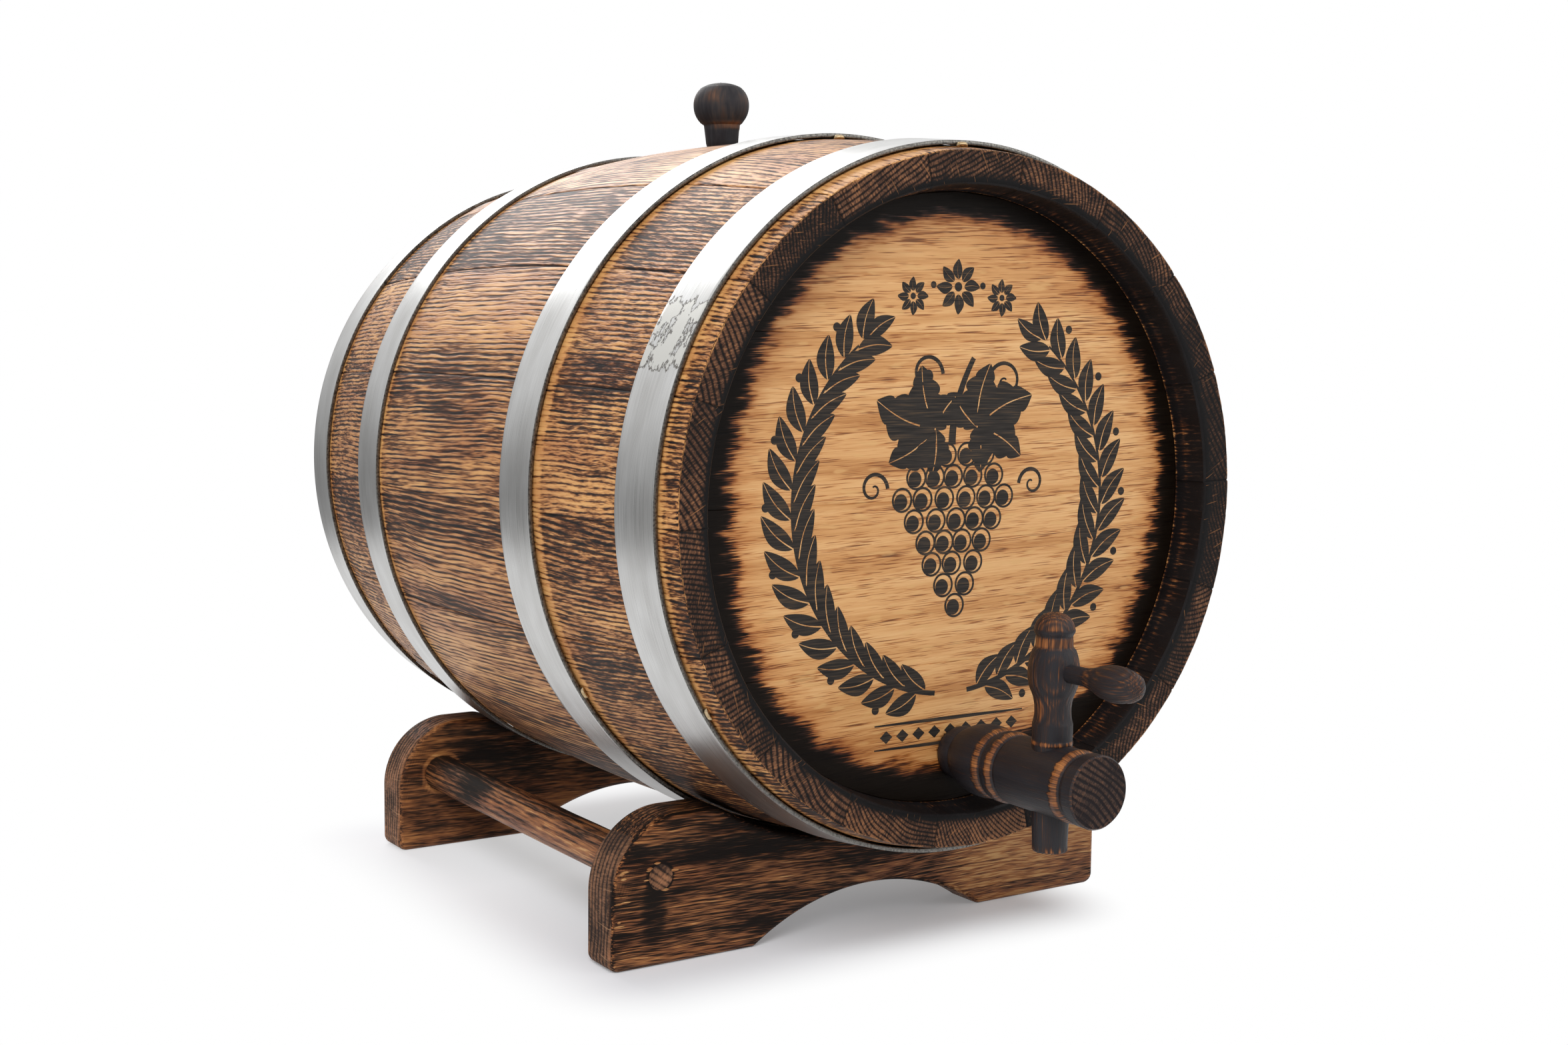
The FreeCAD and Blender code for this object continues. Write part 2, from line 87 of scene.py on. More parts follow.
# ------------------------------------------------------------------ numbers that look random
def lattice(ix, iy, iz, seed):
    """A repeatable number in 0..1 for each whole-number point: its coordinates times large
    primes, mixed by xor and multiplication."""
    mask = np.uint64(0xFFFFFFFF)
    mixed = (ix * 73856093) ^ (iy * 19349663) ^ (iz * 83492791) ^ (seed * 40503 + 1)
    mixed = (mixed & 0xFFFFFFFF).astype(np.uint64)
    mixed = ((mixed ^ (mixed >> np.uint64(15))) * np.uint64(2246822519)) & mask
    mixed = ((mixed ^ (mixed >> np.uint64(13))) * np.uint64(3266489917)) & mask
    return ((mixed ^ (mixed >> np.uint64(16))) & np.uint64(0xFFFF)).astype(float) / 65535.0


def noise(x, y, z, seed=0):
    """Smooth noise in -1..1: lattice numbers at the eight corners round a point, blended with
    the weight t * t * (3 - 2 t) along each axis."""
    x, y, z = np.broadcast_arrays(*(np.asarray(v, float) for v in (x, y, z)))
    low = [np.floor(v).astype(np.int64) for v in (x, y, z)]
    part = [v - whole for v, whole in zip((x, y, z), low)]
    part = [t * t * (3 - 2 * t) for t in part]
    total = np.zeros(x.shape)
    for corner in np.ndindex(2, 2, 2):
        weight = np.ones(x.shape)
        for t, side in zip(part, corner):
            weight = weight * (t if side else 1 - t)
        total += weight * lattice(low[0] + corner[0], low[1] + corner[1], low[2] + corner[2], seed)
    return 2 * total - 1


def smooth(t):
    """0 below 0, 1 above 1 and t * t * (3 - 2 t) between."""
    t = np.clip(t, 0, 1)
    return t * t * (3 - 2 * t)


def band(value, low, high, soft):
    """1 between low and high with soft sides."""
    return smooth((value - low) / soft + 0.5) * smooth((high - value) / soft + 0.5)


# ------------------------------------------------------------------ wood
class Log:
    """Where a piece lay in its log, and how hard the torch went over it.

    pith is the place of the log's centre in the piece's cross-section, across the growth rings'
    width, slope the slant of the fibres and wander how far they stray from straight. scorch is
    the mean burn; rings, streaks and patches say how much each pattern moves it, and streak and
    patch give the width and length of one, in millimetres.
    """

    def __init__(self, seed, pith, across, rings, patches, slope=0.0, scorch=0.0, streaks=0.25,
                 streak=(3.2, 42.0), patch=(15.0, 50.0), wander=1.0):
        self.seed, self.pith, self.across, self.slope = seed, pith, across, slope
        self.scorch, self.rings, self.streaks, self.patches = scorch, rings, streaks, patches
        self.streak, self.patch, self.wander = streak, patch, wander

    def fields(self, a, b, c, extra=0.0):
        """The vertex numbers that the wood materials read, at points a and b across the fibres
        and c along them, in millimetres. grain is the place in the log: the fibres are straight
        in it, so the places across them are moved by a slope and by two slow waves. ring is the
        number of growth rings out from the pith and ray the distance round them. burn is the
        depth of the burn, about 0.5 where the wood turns brown: the mean, plus a sine of the
        ring number, plus streaks long in c, plus broad patches, plus extra."""
        a, b, c = np.broadcast_arrays(a, b, c)
        wave = 1.5 * noise(c / 55.0, a / 30.0, 0.5, self.seed)
        wave = wave + 0.45 * noise(c / 13.0, a / 7.0, 0.5, self.seed + 1)
        a = a + self.slope * c + self.wander * wave
        da, db = a - self.pith[0], b - self.pith[1]
        uneven = 0.9 * noise(a / 9.0, b / 9.0, c / 60.0, self.seed + 2)
        ring = (np.hypot(da, db) + uneven) / self.across
        ray = np.arctan2(da, db) * np.hypot(*self.pith)
        wide, long = self.streak
        streak = noise(a / wide, b / wide, c / long, self.seed + 3)
        broad, far = self.patch
        patch = noise(a / broad, b / broad, c / far, self.seed + 4)
        patch = patch + 0.3 * noise(2.3 * a / broad, 2.3 * b / broad, 2.3 * c / far, self.seed + 5)
        burn = self.scorch + extra + self.rings * np.sin(TAU * ring)
        burn = 0.5 + 0.4 * (burn + self.streaks * streak + self.patches * patch)
        grain = np.stack([a + 31.7 * self.seed, b + 0 * a, c + 0 * a], -1)
        return {"burn": burn, "ring": ring, "ray": ray, "grain": grain}


# ------------------------------------------------------------------ outlines
def arc_through(a, via, b, step):
    """Points of the circle arc from a through via to b, both ends included."""
    (ax, ay), (vx, vy), (bx, by) = a, via, b
    twice = 2 * (ax * (vy - by) + vx * (by - ay) + bx * (ay - vy))
    a2, v2, b2 = ax * ax + ay * ay, vx * vx + vy * vy, bx * bx + by * by
    cx = (a2 * (vy - by) + v2 * (by - ay) + b2 * (ay - vy)) / twice
    cy = (a2 * (bx - vx) + v2 * (ax - bx) + b2 * (vx - ax)) / twice
    start = math.atan2(ay - cy, ax - cx)
    sweep = (math.atan2(by - cy, bx - cx) - start) % TAU
    if (math.atan2(vy - cy, vx - cx) - start) % TAU > sweep:
        sweep -= TAU
    radius = math.hypot(ax - cx, ay - cy)
    turn = start + np.linspace(0, sweep, max(2, math.ceil(abs(sweep) * radius / step) + 1))
    return np.stack([cx + radius * np.cos(turn), cy + radius * np.sin(turn)], 1)


def traced(corners, step):
    """Points along an outline, at most step apart. A corner is (u, v), or (u, v, via_u, via_v)
    when the edge that leaves it is an arc through the via point."""
    runs = []
    for a, b in zip(corners, corners[1:]):
        if len(a) == 4:
            run = arc_through(a[:2], a[2:], b[:2], step)
        else:
            count = max(1, math.ceil(math.hypot(b[0] - a[0], b[1] - a[1]) / step))
            run = np.linspace(a[:2], b[:2], count + 1)
        runs.append(run[:-1])
    return np.concatenate(runs + [[corners[-1][:2]]])


# ------------------------------------------------------------------ meshes
def grid_quads(rows, columns, wrap_rows=False, wrap_columns=False):
    """Corner numbers of the quads of a rows by columns grid of points."""
    number = np.arange(rows * columns).reshape(rows, columns)
    if wrap_rows:
        number = np.concatenate([number, number[:1]], 0)
    if wrap_columns:
        number = np.concatenate([number, number[:, :1]], 1)
    corners = [number[:-1, :-1], number[1:, :-1], number[1:, 1:], number[:-1, 1:]]
    return np.stack([c.ravel() for c in corners], 1)


def end_caps(rows, columns, wrap_rows=False):
    """Corner numbers of the two open ends of a grid that closes up into a tube, wound the way
    its quads are: its first and last rows, or columns where it is the rows that close up."""
    number = np.arange(rows * columns).reshape(rows, columns)
    return [number[::-1, 0], number[:, -1]] if wrap_rows else [number[0], number[-1, ::-1]]


def border_of(rows, columns):
    """Numbers of the points on a grid's border, once round."""
    number = np.arange(rows * columns).reshape(rows, columns)
    return np.concatenate([number[0], number[1:, -1], number[-1, -2::-1], number[-2:0:-1, 0]])


def stitched(rings):
    """Corner numbers of the quads between each closed ring of points and the next one."""
    return [np.stack([a, np.roll(a, -1), np.roll(b, -1), b], 1) for a, b in zip(rings, rings[1:])]


# What Blender calls a vertex number's values, and how many it has, by its kind.
KINDS = {"FLOAT": ("value", 1), "FLOAT_VECTOR": ("vector", 3)}


def new_mesh(name, points, quads, caps=(), fields=None, which=None, crease=35.0):
    """A mesh object from points in metres, quads, and flat many-sided caps. fields are vertex
    numbers, which is each face's place among the materials, and edges sharper than crease
    degrees stay sharp. A mesh whose volume comes out negative is turned to face outwards."""
    mesh = bpy.data.meshes.new(name)
    loops = np.concatenate([quads.ravel(), *caps])
    sizes = np.concatenate([np.full(len(quads), 4), [len(cap) for cap in caps]]).astype(int)
    mesh.vertices.add(len(points))
    mesh.vertices.foreach_set("co", np.asarray(points, np.float32).ravel())
    mesh.loops.add(len(loops))
    mesh.loops.foreach_set("vertex_index", loops.astype(np.int32))
    mesh.polygons.add(len(sizes))
    starts = np.concatenate([[0], np.cumsum(sizes)[:-1]])
    mesh.polygons.foreach_set("loop_start", starts.astype(np.int32))
    mesh.update(calc_edges=True)
    if which is not None:
        mesh.polygons.foreach_set("material_index", np.asarray(which, np.int32))
    for field, values in (fields or {}).items():
        values = np.asarray(values, np.float32)
        kind = "FLOAT" if values.size == len(points) else "FLOAT_VECTOR"
        attribute = mesh.attributes.new(field, kind, "POINT")
        attribute.data.foreach_set(KINDS[kind][0], values.ravel())
    a, b, c, d = (points[quads[:, i]] for i in range(4))
    volume = np.sum(a * np.cross(b, c)) + np.sum(a * np.cross(c, d))
    for cap in caps:
        p = points[cap]
        volume += np.sum(p[0] * np.cross(p[1:-1], p[2:]))
    if volume < 0:
        mesh.flip_normals()
    mesh.shade_smooth()
    mesh.set_sharp_from_angle(angle=math.radians(crease))
    made = bpy.data.objects.new(name, mesh)
    bpy.context.scene.collection.objects.link(made)
    return made


def finished(made, materials, body, nodes=()):
    """Give a piece its materials, let it ride, and let it stand for its CAD nodes."""
    for material in materials:
        made.data.materials.append(material)
    if nodes:
        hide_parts(*nodes)
    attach(made, body)


def corner_places(mesh):
    """A mesh's points, one to a row."""
    places = np.empty(3 * len(mesh.vertices), np.float32)
    mesh.vertices.foreach_get("co", places)
    return places.reshape(-1, 3)


def drilled(made, axis, near, far, sides=72, reach=40.0):
    """Bore a tapered hole in a piece: a cone about the axis, from near to far, each a place
    along it and a radius in millimetres, is taken out of it. A corner that this adds gets the
    vertex numbers of the old corner nearest to it, among those within reach of the cone."""
    foot, ahead, side, up = (np.array(v, float) for v in axis)
    turn = np.linspace(0, TAU, sides, endpoint=False)[None, :, None]
    along, radius = np.array([near, far]).T[:, :, None, None]
    cone = foot + along * ahead + radius * (np.cos(turn) * side + np.sin(turn) * up)
    cutter = new_mesh("drill", cask_metres(cone.reshape(-1, 3)),
                      grid_quads(2, sides, wrap_columns=True), end_caps(2, sides))
    modifier = made.modifiers.new("hole", "BOOLEAN")
    modifier.operation, modifier.solver, modifier.object = "DIFFERENCE", "EXACT", cutter
    bpy.context.view_layer.update()
    ready = made.evaluated_get(bpy.context.evaluated_depsgraph_get())
    old, mesh = made.data, bpy.data.meshes.new_from_object(ready)
    before, after = corner_places(old), corner_places(mesh)
    middle = cask_metres(cone.mean((0, 1)))
    close = np.flatnonzero(np.linalg.norm(before - middle, axis=1) < reach * MM)
    added_here = np.flatnonzero(~np.isin(after.view("V12").ravel(), before.view("V12").ravel()))
    apart = np.linalg.norm(after[added_here, None] - before[close], axis=2)
    source = close[apart.argmin(1)]
    for attribute in old.attributes:
        if attribute.name == "position" or attribute.domain != "POINT" or attribute.data_type not in KINDS:
            continue
        part, width = KINDS[attribute.data_type]
        given, kept = (np.empty(width * len(places), np.float32) for places in (before, after))
        target = mesh.attributes[attribute.name].data
        attribute.data.foreach_get(part, given)
        target.foreach_get(part, kept)
        kept.reshape(-1, width)[added_here] = given.reshape(-1, width)[source]
        target.foreach_set(part, kept)
    made.data = mesh
    made.modifiers.clear()
    bpy.data.meshes.remove(old)
    bpy.data.objects.remove(cutter)


def moved_along_normals(p, height):
    """Move the points of a grid whose columns close up by height along the cross product of
    its two tangents."""
    normal = np.cross(np.gradient(p, axis=0), np.roll(p, -1, 1) - np.roll(p, 1, 1))
    normal /= np.linalg.norm(normal, axis=2, keepdims=True) + 1e-12
    return p + normal * height[..., None]


def cask_metres(p):
    """Points of the cask's own frame, in millimetres, as points of the frame, in metres."""
    return (p + np.array([0.0, FRONT_Y, AXIS_Z])) * MM


def floor_metres(p):
    """The same for points whose height is counted from the floor."""
    return (p + np.array([0.0, FRONT_Y, 0.0])) * MM


# ------------------------------------------------------------------ materials
def linear(text):
    """An sRGB hex colour as linear red, green, blue and alpha 1."""
    parts = [int(text[i:i + 2], 16) / 255 for i in (1, 3, 5)]
    return [c / 12.92 if c <= 0.04045 else ((c + 0.055) / 1.055) ** 2.4 for c in parts] + [1.0]


def node(tree, kind, inputs=(), out=0, **settings):
    """A shader node with its settings, and its inputs set to values or joined to sockets: a
    list by place or a dict by name. stops are a colour ramp's (place, hex colour) pairs. What
    comes back is the output called out, or the node itself for None."""
    made = tree.nodes.new("ShaderNode" + kind)
    for name, value in settings.items():
        if name == "stops":
            ramp = made.color_ramp
            while len(ramp.elements) < len(value):
                ramp.elements.new(1.0)
            for element, (place, text) in zip(ramp.elements, value):
                element.position = place
                element.color = linear(text)
        else:
            setattr(made, name, value)
    for name, value in inputs.items() if isinstance(inputs, dict) else enumerate(inputs):
        socket = made.inputs[name]
        if isinstance(value, bpy.types.NodeSocket):
            tree.links.new(value, socket)
        else:
            socket.default_value = value
    return made if out is None else made.outputs[out]


# A colour mix that multiplies its two colours, and one that goes from the first to the second.
TINTED = {"data_type": "RGBA", "blend_type": "MULTIPLY"}
BLENDED = {"data_type": "RGBA"}


def new_material(name):
    """An empty node material, its tree and the socket that its shader is joined to."""
    made = bpy.data.materials.new(name)
    made.use_nodes = True
    tree = made.node_tree
    tree.nodes.clear()
    return made, tree, tree.nodes.new("ShaderNodeOutputMaterial").inputs["Surface"]


def per_metre(millimetres):
    """Noise scale for a grain of that size."""
    return 1.0 / (millimetres * MM)


def stretched(tree, place, sizes, detail=2.0, roughness=0.5, distortion=0.0, turn=0.0):
    """Noise whose grain has these sizes along x, y and z, in the unit that place is in. turn
    slants it about y."""
    spread = node(tree, "Mapping", {"Vector": place, "Rotation": (0, turn, 0),
                                    "Scale": [1.0 / size for size in sizes]})
    return node(tree, "TexNoise", {"Vector": spread, "Scale": 1.0, "Detail": detail,
                                   "Roughness": roughness, "Distortion": distortion})


def fibres_of(tree, wide, long, detail=2.0):
    """Noise stretched along the fibres, wide and long in millimetres."""
    grain = node(tree, "Attribute", out="Vector", attribute_name="grain")
    return stretched(tree, grain, (wide, wide, long), detail, 0.55)


def ring_wave(tree):
    """The number of growth rings out from the pith, and its sine: one wave to a ring."""
    ring = node(tree, "Attribute", out="Fac", attribute_name="ring")
    turn = node(tree, "Math", [ring, TAU], operation="MULTIPLY")
    return ring, node(tree, "Math", [turn], operation="SINE")


def added(tree, field, value, gain):
    """field plus gain times the amount that a noise value differs from its middle."""
    off = node(tree, "Math", [value, 0.5], operation="SUBTRACT")
    return node(tree, "Math", [off, gain, field], operation="MULTIPLY_ADD")


def wood_surface(tree, out, field, colour, fine, shine, rough, depth):
    """Join a wood colour to the output: burnt wood is duller than clean wood and lies lower."""
    specular = node(tree, "MapRange", [field, 0.35, 0.65, *shine])
    roughness = node(tree, "MapRange", [field, 0.35, 0.65, *rough])
    height = node(tree, "MapRange", [field, 0.25, 0.75, 1.0, 0.0])
    height = added(tree, height, fine, 0.7)
    bump = node(tree, "Bump", {"Height": height, "Distance": depth * MM})
    shader = node(tree, "BsdfPrincipled", {"Base Color": colour, "Roughness": roughness,
                                           "Normal": bump, "Specular IOR Level": specular})
    tree.links.new(shader, out)


def torched_oak(name, stops, rings=0.2, lines=(1.15, 32.0, 1.0), dashes=(0.55, 14.0, 0.9),
                shine=(0.36, 0.2), rough=(0.42, 0.55), depth=0.22, fine_weight=0.7):
    """Oak flamed with a torch, wire-brushed and waxed: soft wood burns black and sinks, hard
    wood stays tan and proud. The eye gets dark streaks and dashes along the fibres, wavy lines
    where the growth rings surface, and fine fibres over all of it. rings is the weight of the
    ring lines; lines and dashes are a streak's width and length in millimetres and its weight;
    shine and rough go from clean wood to burnt wood; depth is the relief in millimetres."""
    made, tree, out = new_material(name)
    burn = node(tree, "Attribute", out="Fac", attribute_name="burn")
    wave = ring_wave(tree)[1]
    # The wave's crests burn further than its troughs stay pale, and the lines come and go.
    peaks = node(tree, "Math", [wave, wave, -0.35], operation="MULTIPLY_ADD")
    wave = node(tree, "Math", [peaks, 0.5, wave], operation="MULTIPLY_ADD")
    strength = node(tree, "MapRange", [fibres_of(tree, 4.0, 20.0, 1.0), 0.35, 0.6, 0.4 * rings, 1.3 * rings])
    field = node(tree, "Math", [wave, strength, burn], operation="MULTIPLY_ADD")
    field = added(tree, field, fibres_of(tree, lines[0], lines[1], 1.5), lines[2])
    field = added(tree, field, fibres_of(tree, dashes[0], dashes[1], 1.0), dashes[2])
    # Fibres 0.1 mm wide, drawn 0.3 mm wide to show.
    fine = fibres_of(tree, 0.3, 9.0, 1.0)
    field = added(tree, field, fine, fine_weight)
    colour = node(tree, "ValToRGB", [field], stops=stops)
    slow = fibres_of(tree, 9.0, 60.0)
    tint = node(tree, "ValToRGB", [slow], stops=[(0.35, "#E0CFC4"), (0.65, "#FFFDF4")])
    colour = node(tree, "Mix", {"Factor": 1.0, "A": colour, "B": tint}, "Result", **TINTED)
    wood_surface(tree, out, field, colour, fine, shine, rough, depth)
    return made


def end_grain(name, stops, ray_colour, ring_weight, ray_weight, ray_wide=0.8):
    """Oak sawn across the fibres and torched: brown wood with a thin dark line at each growth
    ring, fainter rays that run straight out from the pith, and a few rays that stay pale.
    ray_wide is a ray's width in millimetres."""
    made, tree, out = new_material(name)
    ring, wave = ring_wave(tree)
    ray = node(tree, "Attribute", out="Fac", attribute_name="ray")
    burn = node(tree, "Attribute", out="Fac", attribute_name="burn")
    half = node(tree, "Math", [wave, 0.5, 0.5], operation="MULTIPLY_ADD")
    line = node(tree, "Math", [half, 3.0], operation="POWER")
    # A ray is drawn on the plane of the rings' number and the distance round them.
    around_pith = node(tree, "Math", [ray, 1.0 / ray_wide], operation="MULTIPLY")
    across = node(tree, "Math", [ring, 0.7], operation="MULTIPLY")
    plane = node(tree, "CombineXYZ", [across, around_pith])
    rays = node(tree, "TexNoise", {"Vector": plane, "Scale": 1.0, "Detail": 2.0, "Roughness": 0.6})
    across = node(tree, "Math", [ring, 0.12], operation="MULTIPLY")
    plane = node(tree, "CombineXYZ", [across, around_pith])
    long_rays = node(tree, "TexNoise", {"Vector": plane, "Scale": 1.0, "Detail": 1.0})
    place = node(tree, "TexCoord", out="Object")
    pores = node(tree, "TexNoise", {"Vector": place, "Scale": per_metre(0.7), "Detail": 3.0,
                                    "Roughness": 0.65})
    field = node(tree, "Math", [line, ring_weight, burn], operation="MULTIPLY_ADD")
    field = added(tree, field, pores, 0.45)
    field = added(tree, field, rays, -ray_weight)
    colour = node(tree, "ValToRGB", [field], stops=stops)
    pale = node(tree, "MapRange", [long_rays, 0.69, 0.73, 0.0, 0.6])
    colour = node(tree, "Mix", {"Factor": pale, "A": colour, "B": linear(ray_colour)}, "Result", **BLENDED)
    wood_surface(tree, out, field, colour, pores, (0.15, 0.08), (0.5, 0.65), 0.3)
    return made


def brushed_strip(name):
    """Stainless strip, ground with a belt along its length and rolled into a hoop: a soft grey
    mirror stretched across the fine scratches that run round the cask. The weld field adds the
    blotchy ground-down seam."""
    made, tree, out = new_material(name)
    along = node(tree, "UVMap", uv_map="strip")
    # Grinding scratches: 0.15 mm wide and some 40 mm long, drawn 0.3 mm wide to show.
    lines = stretched(tree, along, (40 * MM, 0.3 * MM, 1), 3.0, 0.6)
    clouds = stretched(tree, along, (30 * MM, 12 * MM, 1), 3.0)
    grey = node(tree, "ValToRGB", [clouds], stops=[(0.3, "#C2C1BF"), (0.7, "#DADAD9")])
    fine = node(tree, "ValToRGB", [lines], stops=[(0.3, "#E4E4E4"), (0.6, "#FFFFFF")])
    grey = node(tree, "Mix", {"Factor": 1.0, "A": grey, "B": fine}, "Result", **TINTED)
    # The weld: pale ground spots with dark ragged rims.
    weld = node(tree, "Attribute", out="Fac", attribute_name="weld")
    spots = stretched(tree, along, (11 * MM, 7 * MM, 1), 5.0, 0.65)
    ragged = node(tree, "Math", [weld, spots], operation="MULTIPLY")
    pale = node(tree, "MapRange", [ragged, 0.42, 0.47])
    grey = node(tree, "Mix", {"Factor": pale, "A": grey, "B": linear("#CFCEC9")}, "Result", **BLENDED)
    rim = node(tree, "MapRange", [ragged, 0.40, 0.425])
    rim_end = node(tree, "MapRange", [ragged, 0.43, 0.455, 1.0, 0.0])
    dark = node(tree, "Math", [rim, rim_end], operation="MULTIPLY")
    grey = node(tree, "Mix", {"Factor": dark, "A": grey, "B": linear("#5B5650")}, "Result", **BLENDED)
    roughness = node(tree, "MapRange", [lines, 0.3, 0.7, 0.26, 0.38])
    bump = node(tree, "Bump", {"Height": lines, "Distance": 0.02 * MM, "Strength": 0.5})
    shader = node(tree, "BsdfPrincipled", {"Base Color": grey, "Metallic": 1.0,
                                           "Roughness": roughness, "Normal": bump})
    tree.links.new(shader, out)
    return made


def strip_edge(name):
    """The sheared, unpolished edge of the hoop strip: grey, with dark grit in it."""
    made, tree, out = new_material(name)
    place = node(tree, "TexCoord", out="Object")
    grit = node(tree, "TexNoise", {"Vector": place, "Scale": per_metre(0.8), "Detail": 3.0})
    colour = node(tree, "ValToRGB", [grit], stops=[(0.34, "#4A4846"), (0.48, "#6F6D69"), (0.64, "#86837D")])
    bump = node(tree, "Bump", {"Height": grit, "Distance": 0.05 * MM, "Strength": 0.6})
    shader = node(tree, "BsdfPrincipled", {"Base Color": colour, "Metallic": 0.9,
                                           "Roughness": 0.4, "Normal": bump})
    tree.links.new(shader, out)
    return made


def brass_wire(name):
    """Drawn brass wire, dulled by handling: a warm metal with small cloudy stains."""
    made, tree, out = new_material(name)
    place = node(tree, "TexCoord", out="Object")
    stain = node(tree, "TexNoise", {"Vector": place, "Scale": per_metre(1.5), "Detail": 3.0})
    colour = node(tree, "ValToRGB", [stain], stops=[(0.3, "#A58A62"), (0.7, "#D8C3A0")])
    shader = node(tree, "BsdfPrincipled", {"Base Color": colour, "Metallic": 1.0, "Roughness": 0.35})
    tree.links.new(shader, out)
    return made


def waxed_head_oak(name):
    """Planed oak boards, waxed, with the rim flamed: honey wood with fine level grain, open pores that show
    as short dark dashes, pale ray flecks across them, and a black border that creeps inwards along the
    grain. The board field shifts the pattern, because each board was cut from another part of the log, and a
    second vertex field moves the border inwards: where the flame reached further, and beside the tap on its
    right, as painted shade of the tap."""
    made, tree, out = new_material(name)
    place = node(tree, "TexCoord", out="Object")
    # Centred on the cask's axis; the grain rises 2 degrees to the right.
    centred = node(tree, "Mapping", {"Vector": place, "Location": (0, 0, -AXIS_Z * MM)})
    split = node(tree, "SeparateXYZ", [centred], None).outputs
    flat = node(tree, "CombineXYZ", {"X": split["X"], "Z": split["Z"]})
    radius = node(tree, "VectorMath", [flat], "Value", operation="LENGTH")
    board = node(tree, "Attribute", out="Fac", attribute_name="board")
    shift = node(tree, "CombineXYZ", [board, board])
    sloped = node(tree, "Mapping", {"Vector": centred, "Rotation": (0, math.radians(2), 0)})
    sloped = node(tree, "VectorMath", [sloped, shift], operation="ADD")

    def streaks(wide, long, detail=2.0, roughness=0.55, distortion=0.0):
        """Noise stretched along the level grain, wide and long in millimetres."""
        return stretched(tree, sloped, (long * MM, long * MM, wide * MM), detail, roughness, distortion)

    tone = added(tree, streaks(7, 130), streaks(0.6, 26, 3.0, 0.62, 0.1), 0.6)
    wood = node(tree, "ValToRGB", [tone], stops=[
        (0.28, "#B57D46"), (0.42, "#C9935A"), (0.54, "#D4A067"), (0.72, "#DEAF77")])
    # Pores: 0.2 mm wide, drawn 0.3 mm wide to show, and 3 to 15 mm long, in drifts.
    pore = added(tree, streaks(0.3, 12, 1.0, 0.5), streaks(2.4, 45), 0.6)
    marks = node(tree, "ValToRGB", [pore], stops=[
        (0.57, "#FFFFFF"), (0.62, "#D9B994"), (0.68, "#98704B"), (0.78, "#68482F")])
    wood = node(tree, "Mix", {"Factor": 0.9, "A": wood, "B": marks}, "Result", **TINTED)
    # Ray flecks: smooth pale smears that lie slantwise and cover the pores.
    fleck = stretched(tree, sloped, (10 * MM, 30 * MM, 2.2 * MM), 1.0, turn=math.radians(6))
    pale = node(tree, "MapRange", [fleck, 0.60, 0.70, 0.0, 0.6])
    wood = node(tree, "Mix", {"Factor": pale, "A": wood, "B": linear("#D4A56A")}, "Result", **BLENDED)
    # The burnt rim: the radius, shifted by streaks along the grain that reach furthest at the
    # sides, where the grain meets the rim end on.
    side = node(tree, "Math", [split["X"], radius], operation="DIVIDE")
    side = node(tree, "Math", [side, 2.0], operation="POWER")
    reach = node(tree, "MapRange", [side, 0.0, 1.0, 10 * MM, 17 * MM])
    lick = added(tree, streaks(0.45, 10, 2.0, 0.6), streaks(5.0, 13), 0.9)
    off = node(tree, "Math", [lick, 0.5], operation="SUBTRACT")
    ragged = node(tree, "Math", [off, reach, radius], operation="MULTIPLY_ADD")
    # The vertex field moves the rim in further: burn where the flame reached, and painted shade of the tap
    # beside the tap on its right.
    licked = node(tree, "Attribute", out="Fac", attribute_name="licked")
    ragged = node(tree, "Math", [licked, MM, ragged], operation="MULTIPLY_ADD")
    burnt = node(tree, "MapRange", [ragged, 87 * MM, 105 * MM])
    scorch = node(tree, "ValToRGB", [burnt], stops=[
        (0.0, "#FFFFFF"), (0.44, "#F4E6D6"), (0.58, "#C39C74"), (0.65, "#65483A"), (0.71, "#2C2422"),
        (0.80, "#17171A")])
    wood = node(tree, "Mix", {"Factor": 1.0, "A": wood, "B": scorch}, "Result", **TINTED)
    shine = node(tree, "MapRange", [burnt, 0.5, 0.8, 0.4, 0.12])
    bump = node(tree, "Bump", {"Height": pore, "Distance": -0.1 * MM, "Strength": 0.7})
    shader = node(tree, "BsdfPrincipled", {"Base Color": wood, "Roughness": 0.5, "Normal": bump,
                                           "Specular IOR Level": shine})
    tree.links.new(shader, out)
    return made


def burnt_print(name):
    """A design burnt into the head: soot-black wood whose grain still shows as fine level
    lines."""
    made, tree, out = new_material(name)
    place = node(tree, "TexCoord", out="Object")
    hair = stretched(tree, place, (16 * MM, 1, 0.5 * MM), 3.0)
    colour = node(tree, "ValToRGB", [hair], stops=[(0.35, "#1F1C1A"), (0.55, "#322D29"), (0.75, "#5C4833")])
    bump = node(tree, "Bump", {"Height": hair, "Distance": 0.1 * MM, "Strength": 0.5})
    shader = node(tree, "BsdfPrincipled", {"Base Color": colour, "Roughness": 0.6, "Normal": bump,
                                           "Specular IOR Level": 0.2})
    tree.links.new(shader, out)
    return made


STAVE_STOPS = [(0.10, "#E2AD70"), (0.34, "#CB9259"), (0.47, "#A27045"), (0.57, "#744C31"),
               (0.70, "#482E20"), (0.88, "#2D2422"), (1.0, "#171517")]
CRADLE_STOPS = [(0.0, "#CFA36E"), (0.10, "#B37B4A"), (0.26, "#99663F"), (0.40, "#7B4F32"),
                (0.52, "#523626"), (0.62, "#32241C"), (0.80, "#1B1614")]
CRADLE_END_STOPS = [(0.0, "#C0925F"), (0.18, "#AD7C57"), (0.36, "#946649"), (0.54, "#72523D"),
                    (0.70, "#4A372D"), (0.88, "#2A221F")]
TURNED_STOPS = [(0.08, "#B07543"), (0.24, "#895836"), (0.38, "#5F3F2C"), (0.50, "#3D2D28"),
                (0.64, "#2C272A"), (0.85, "#25252B")]
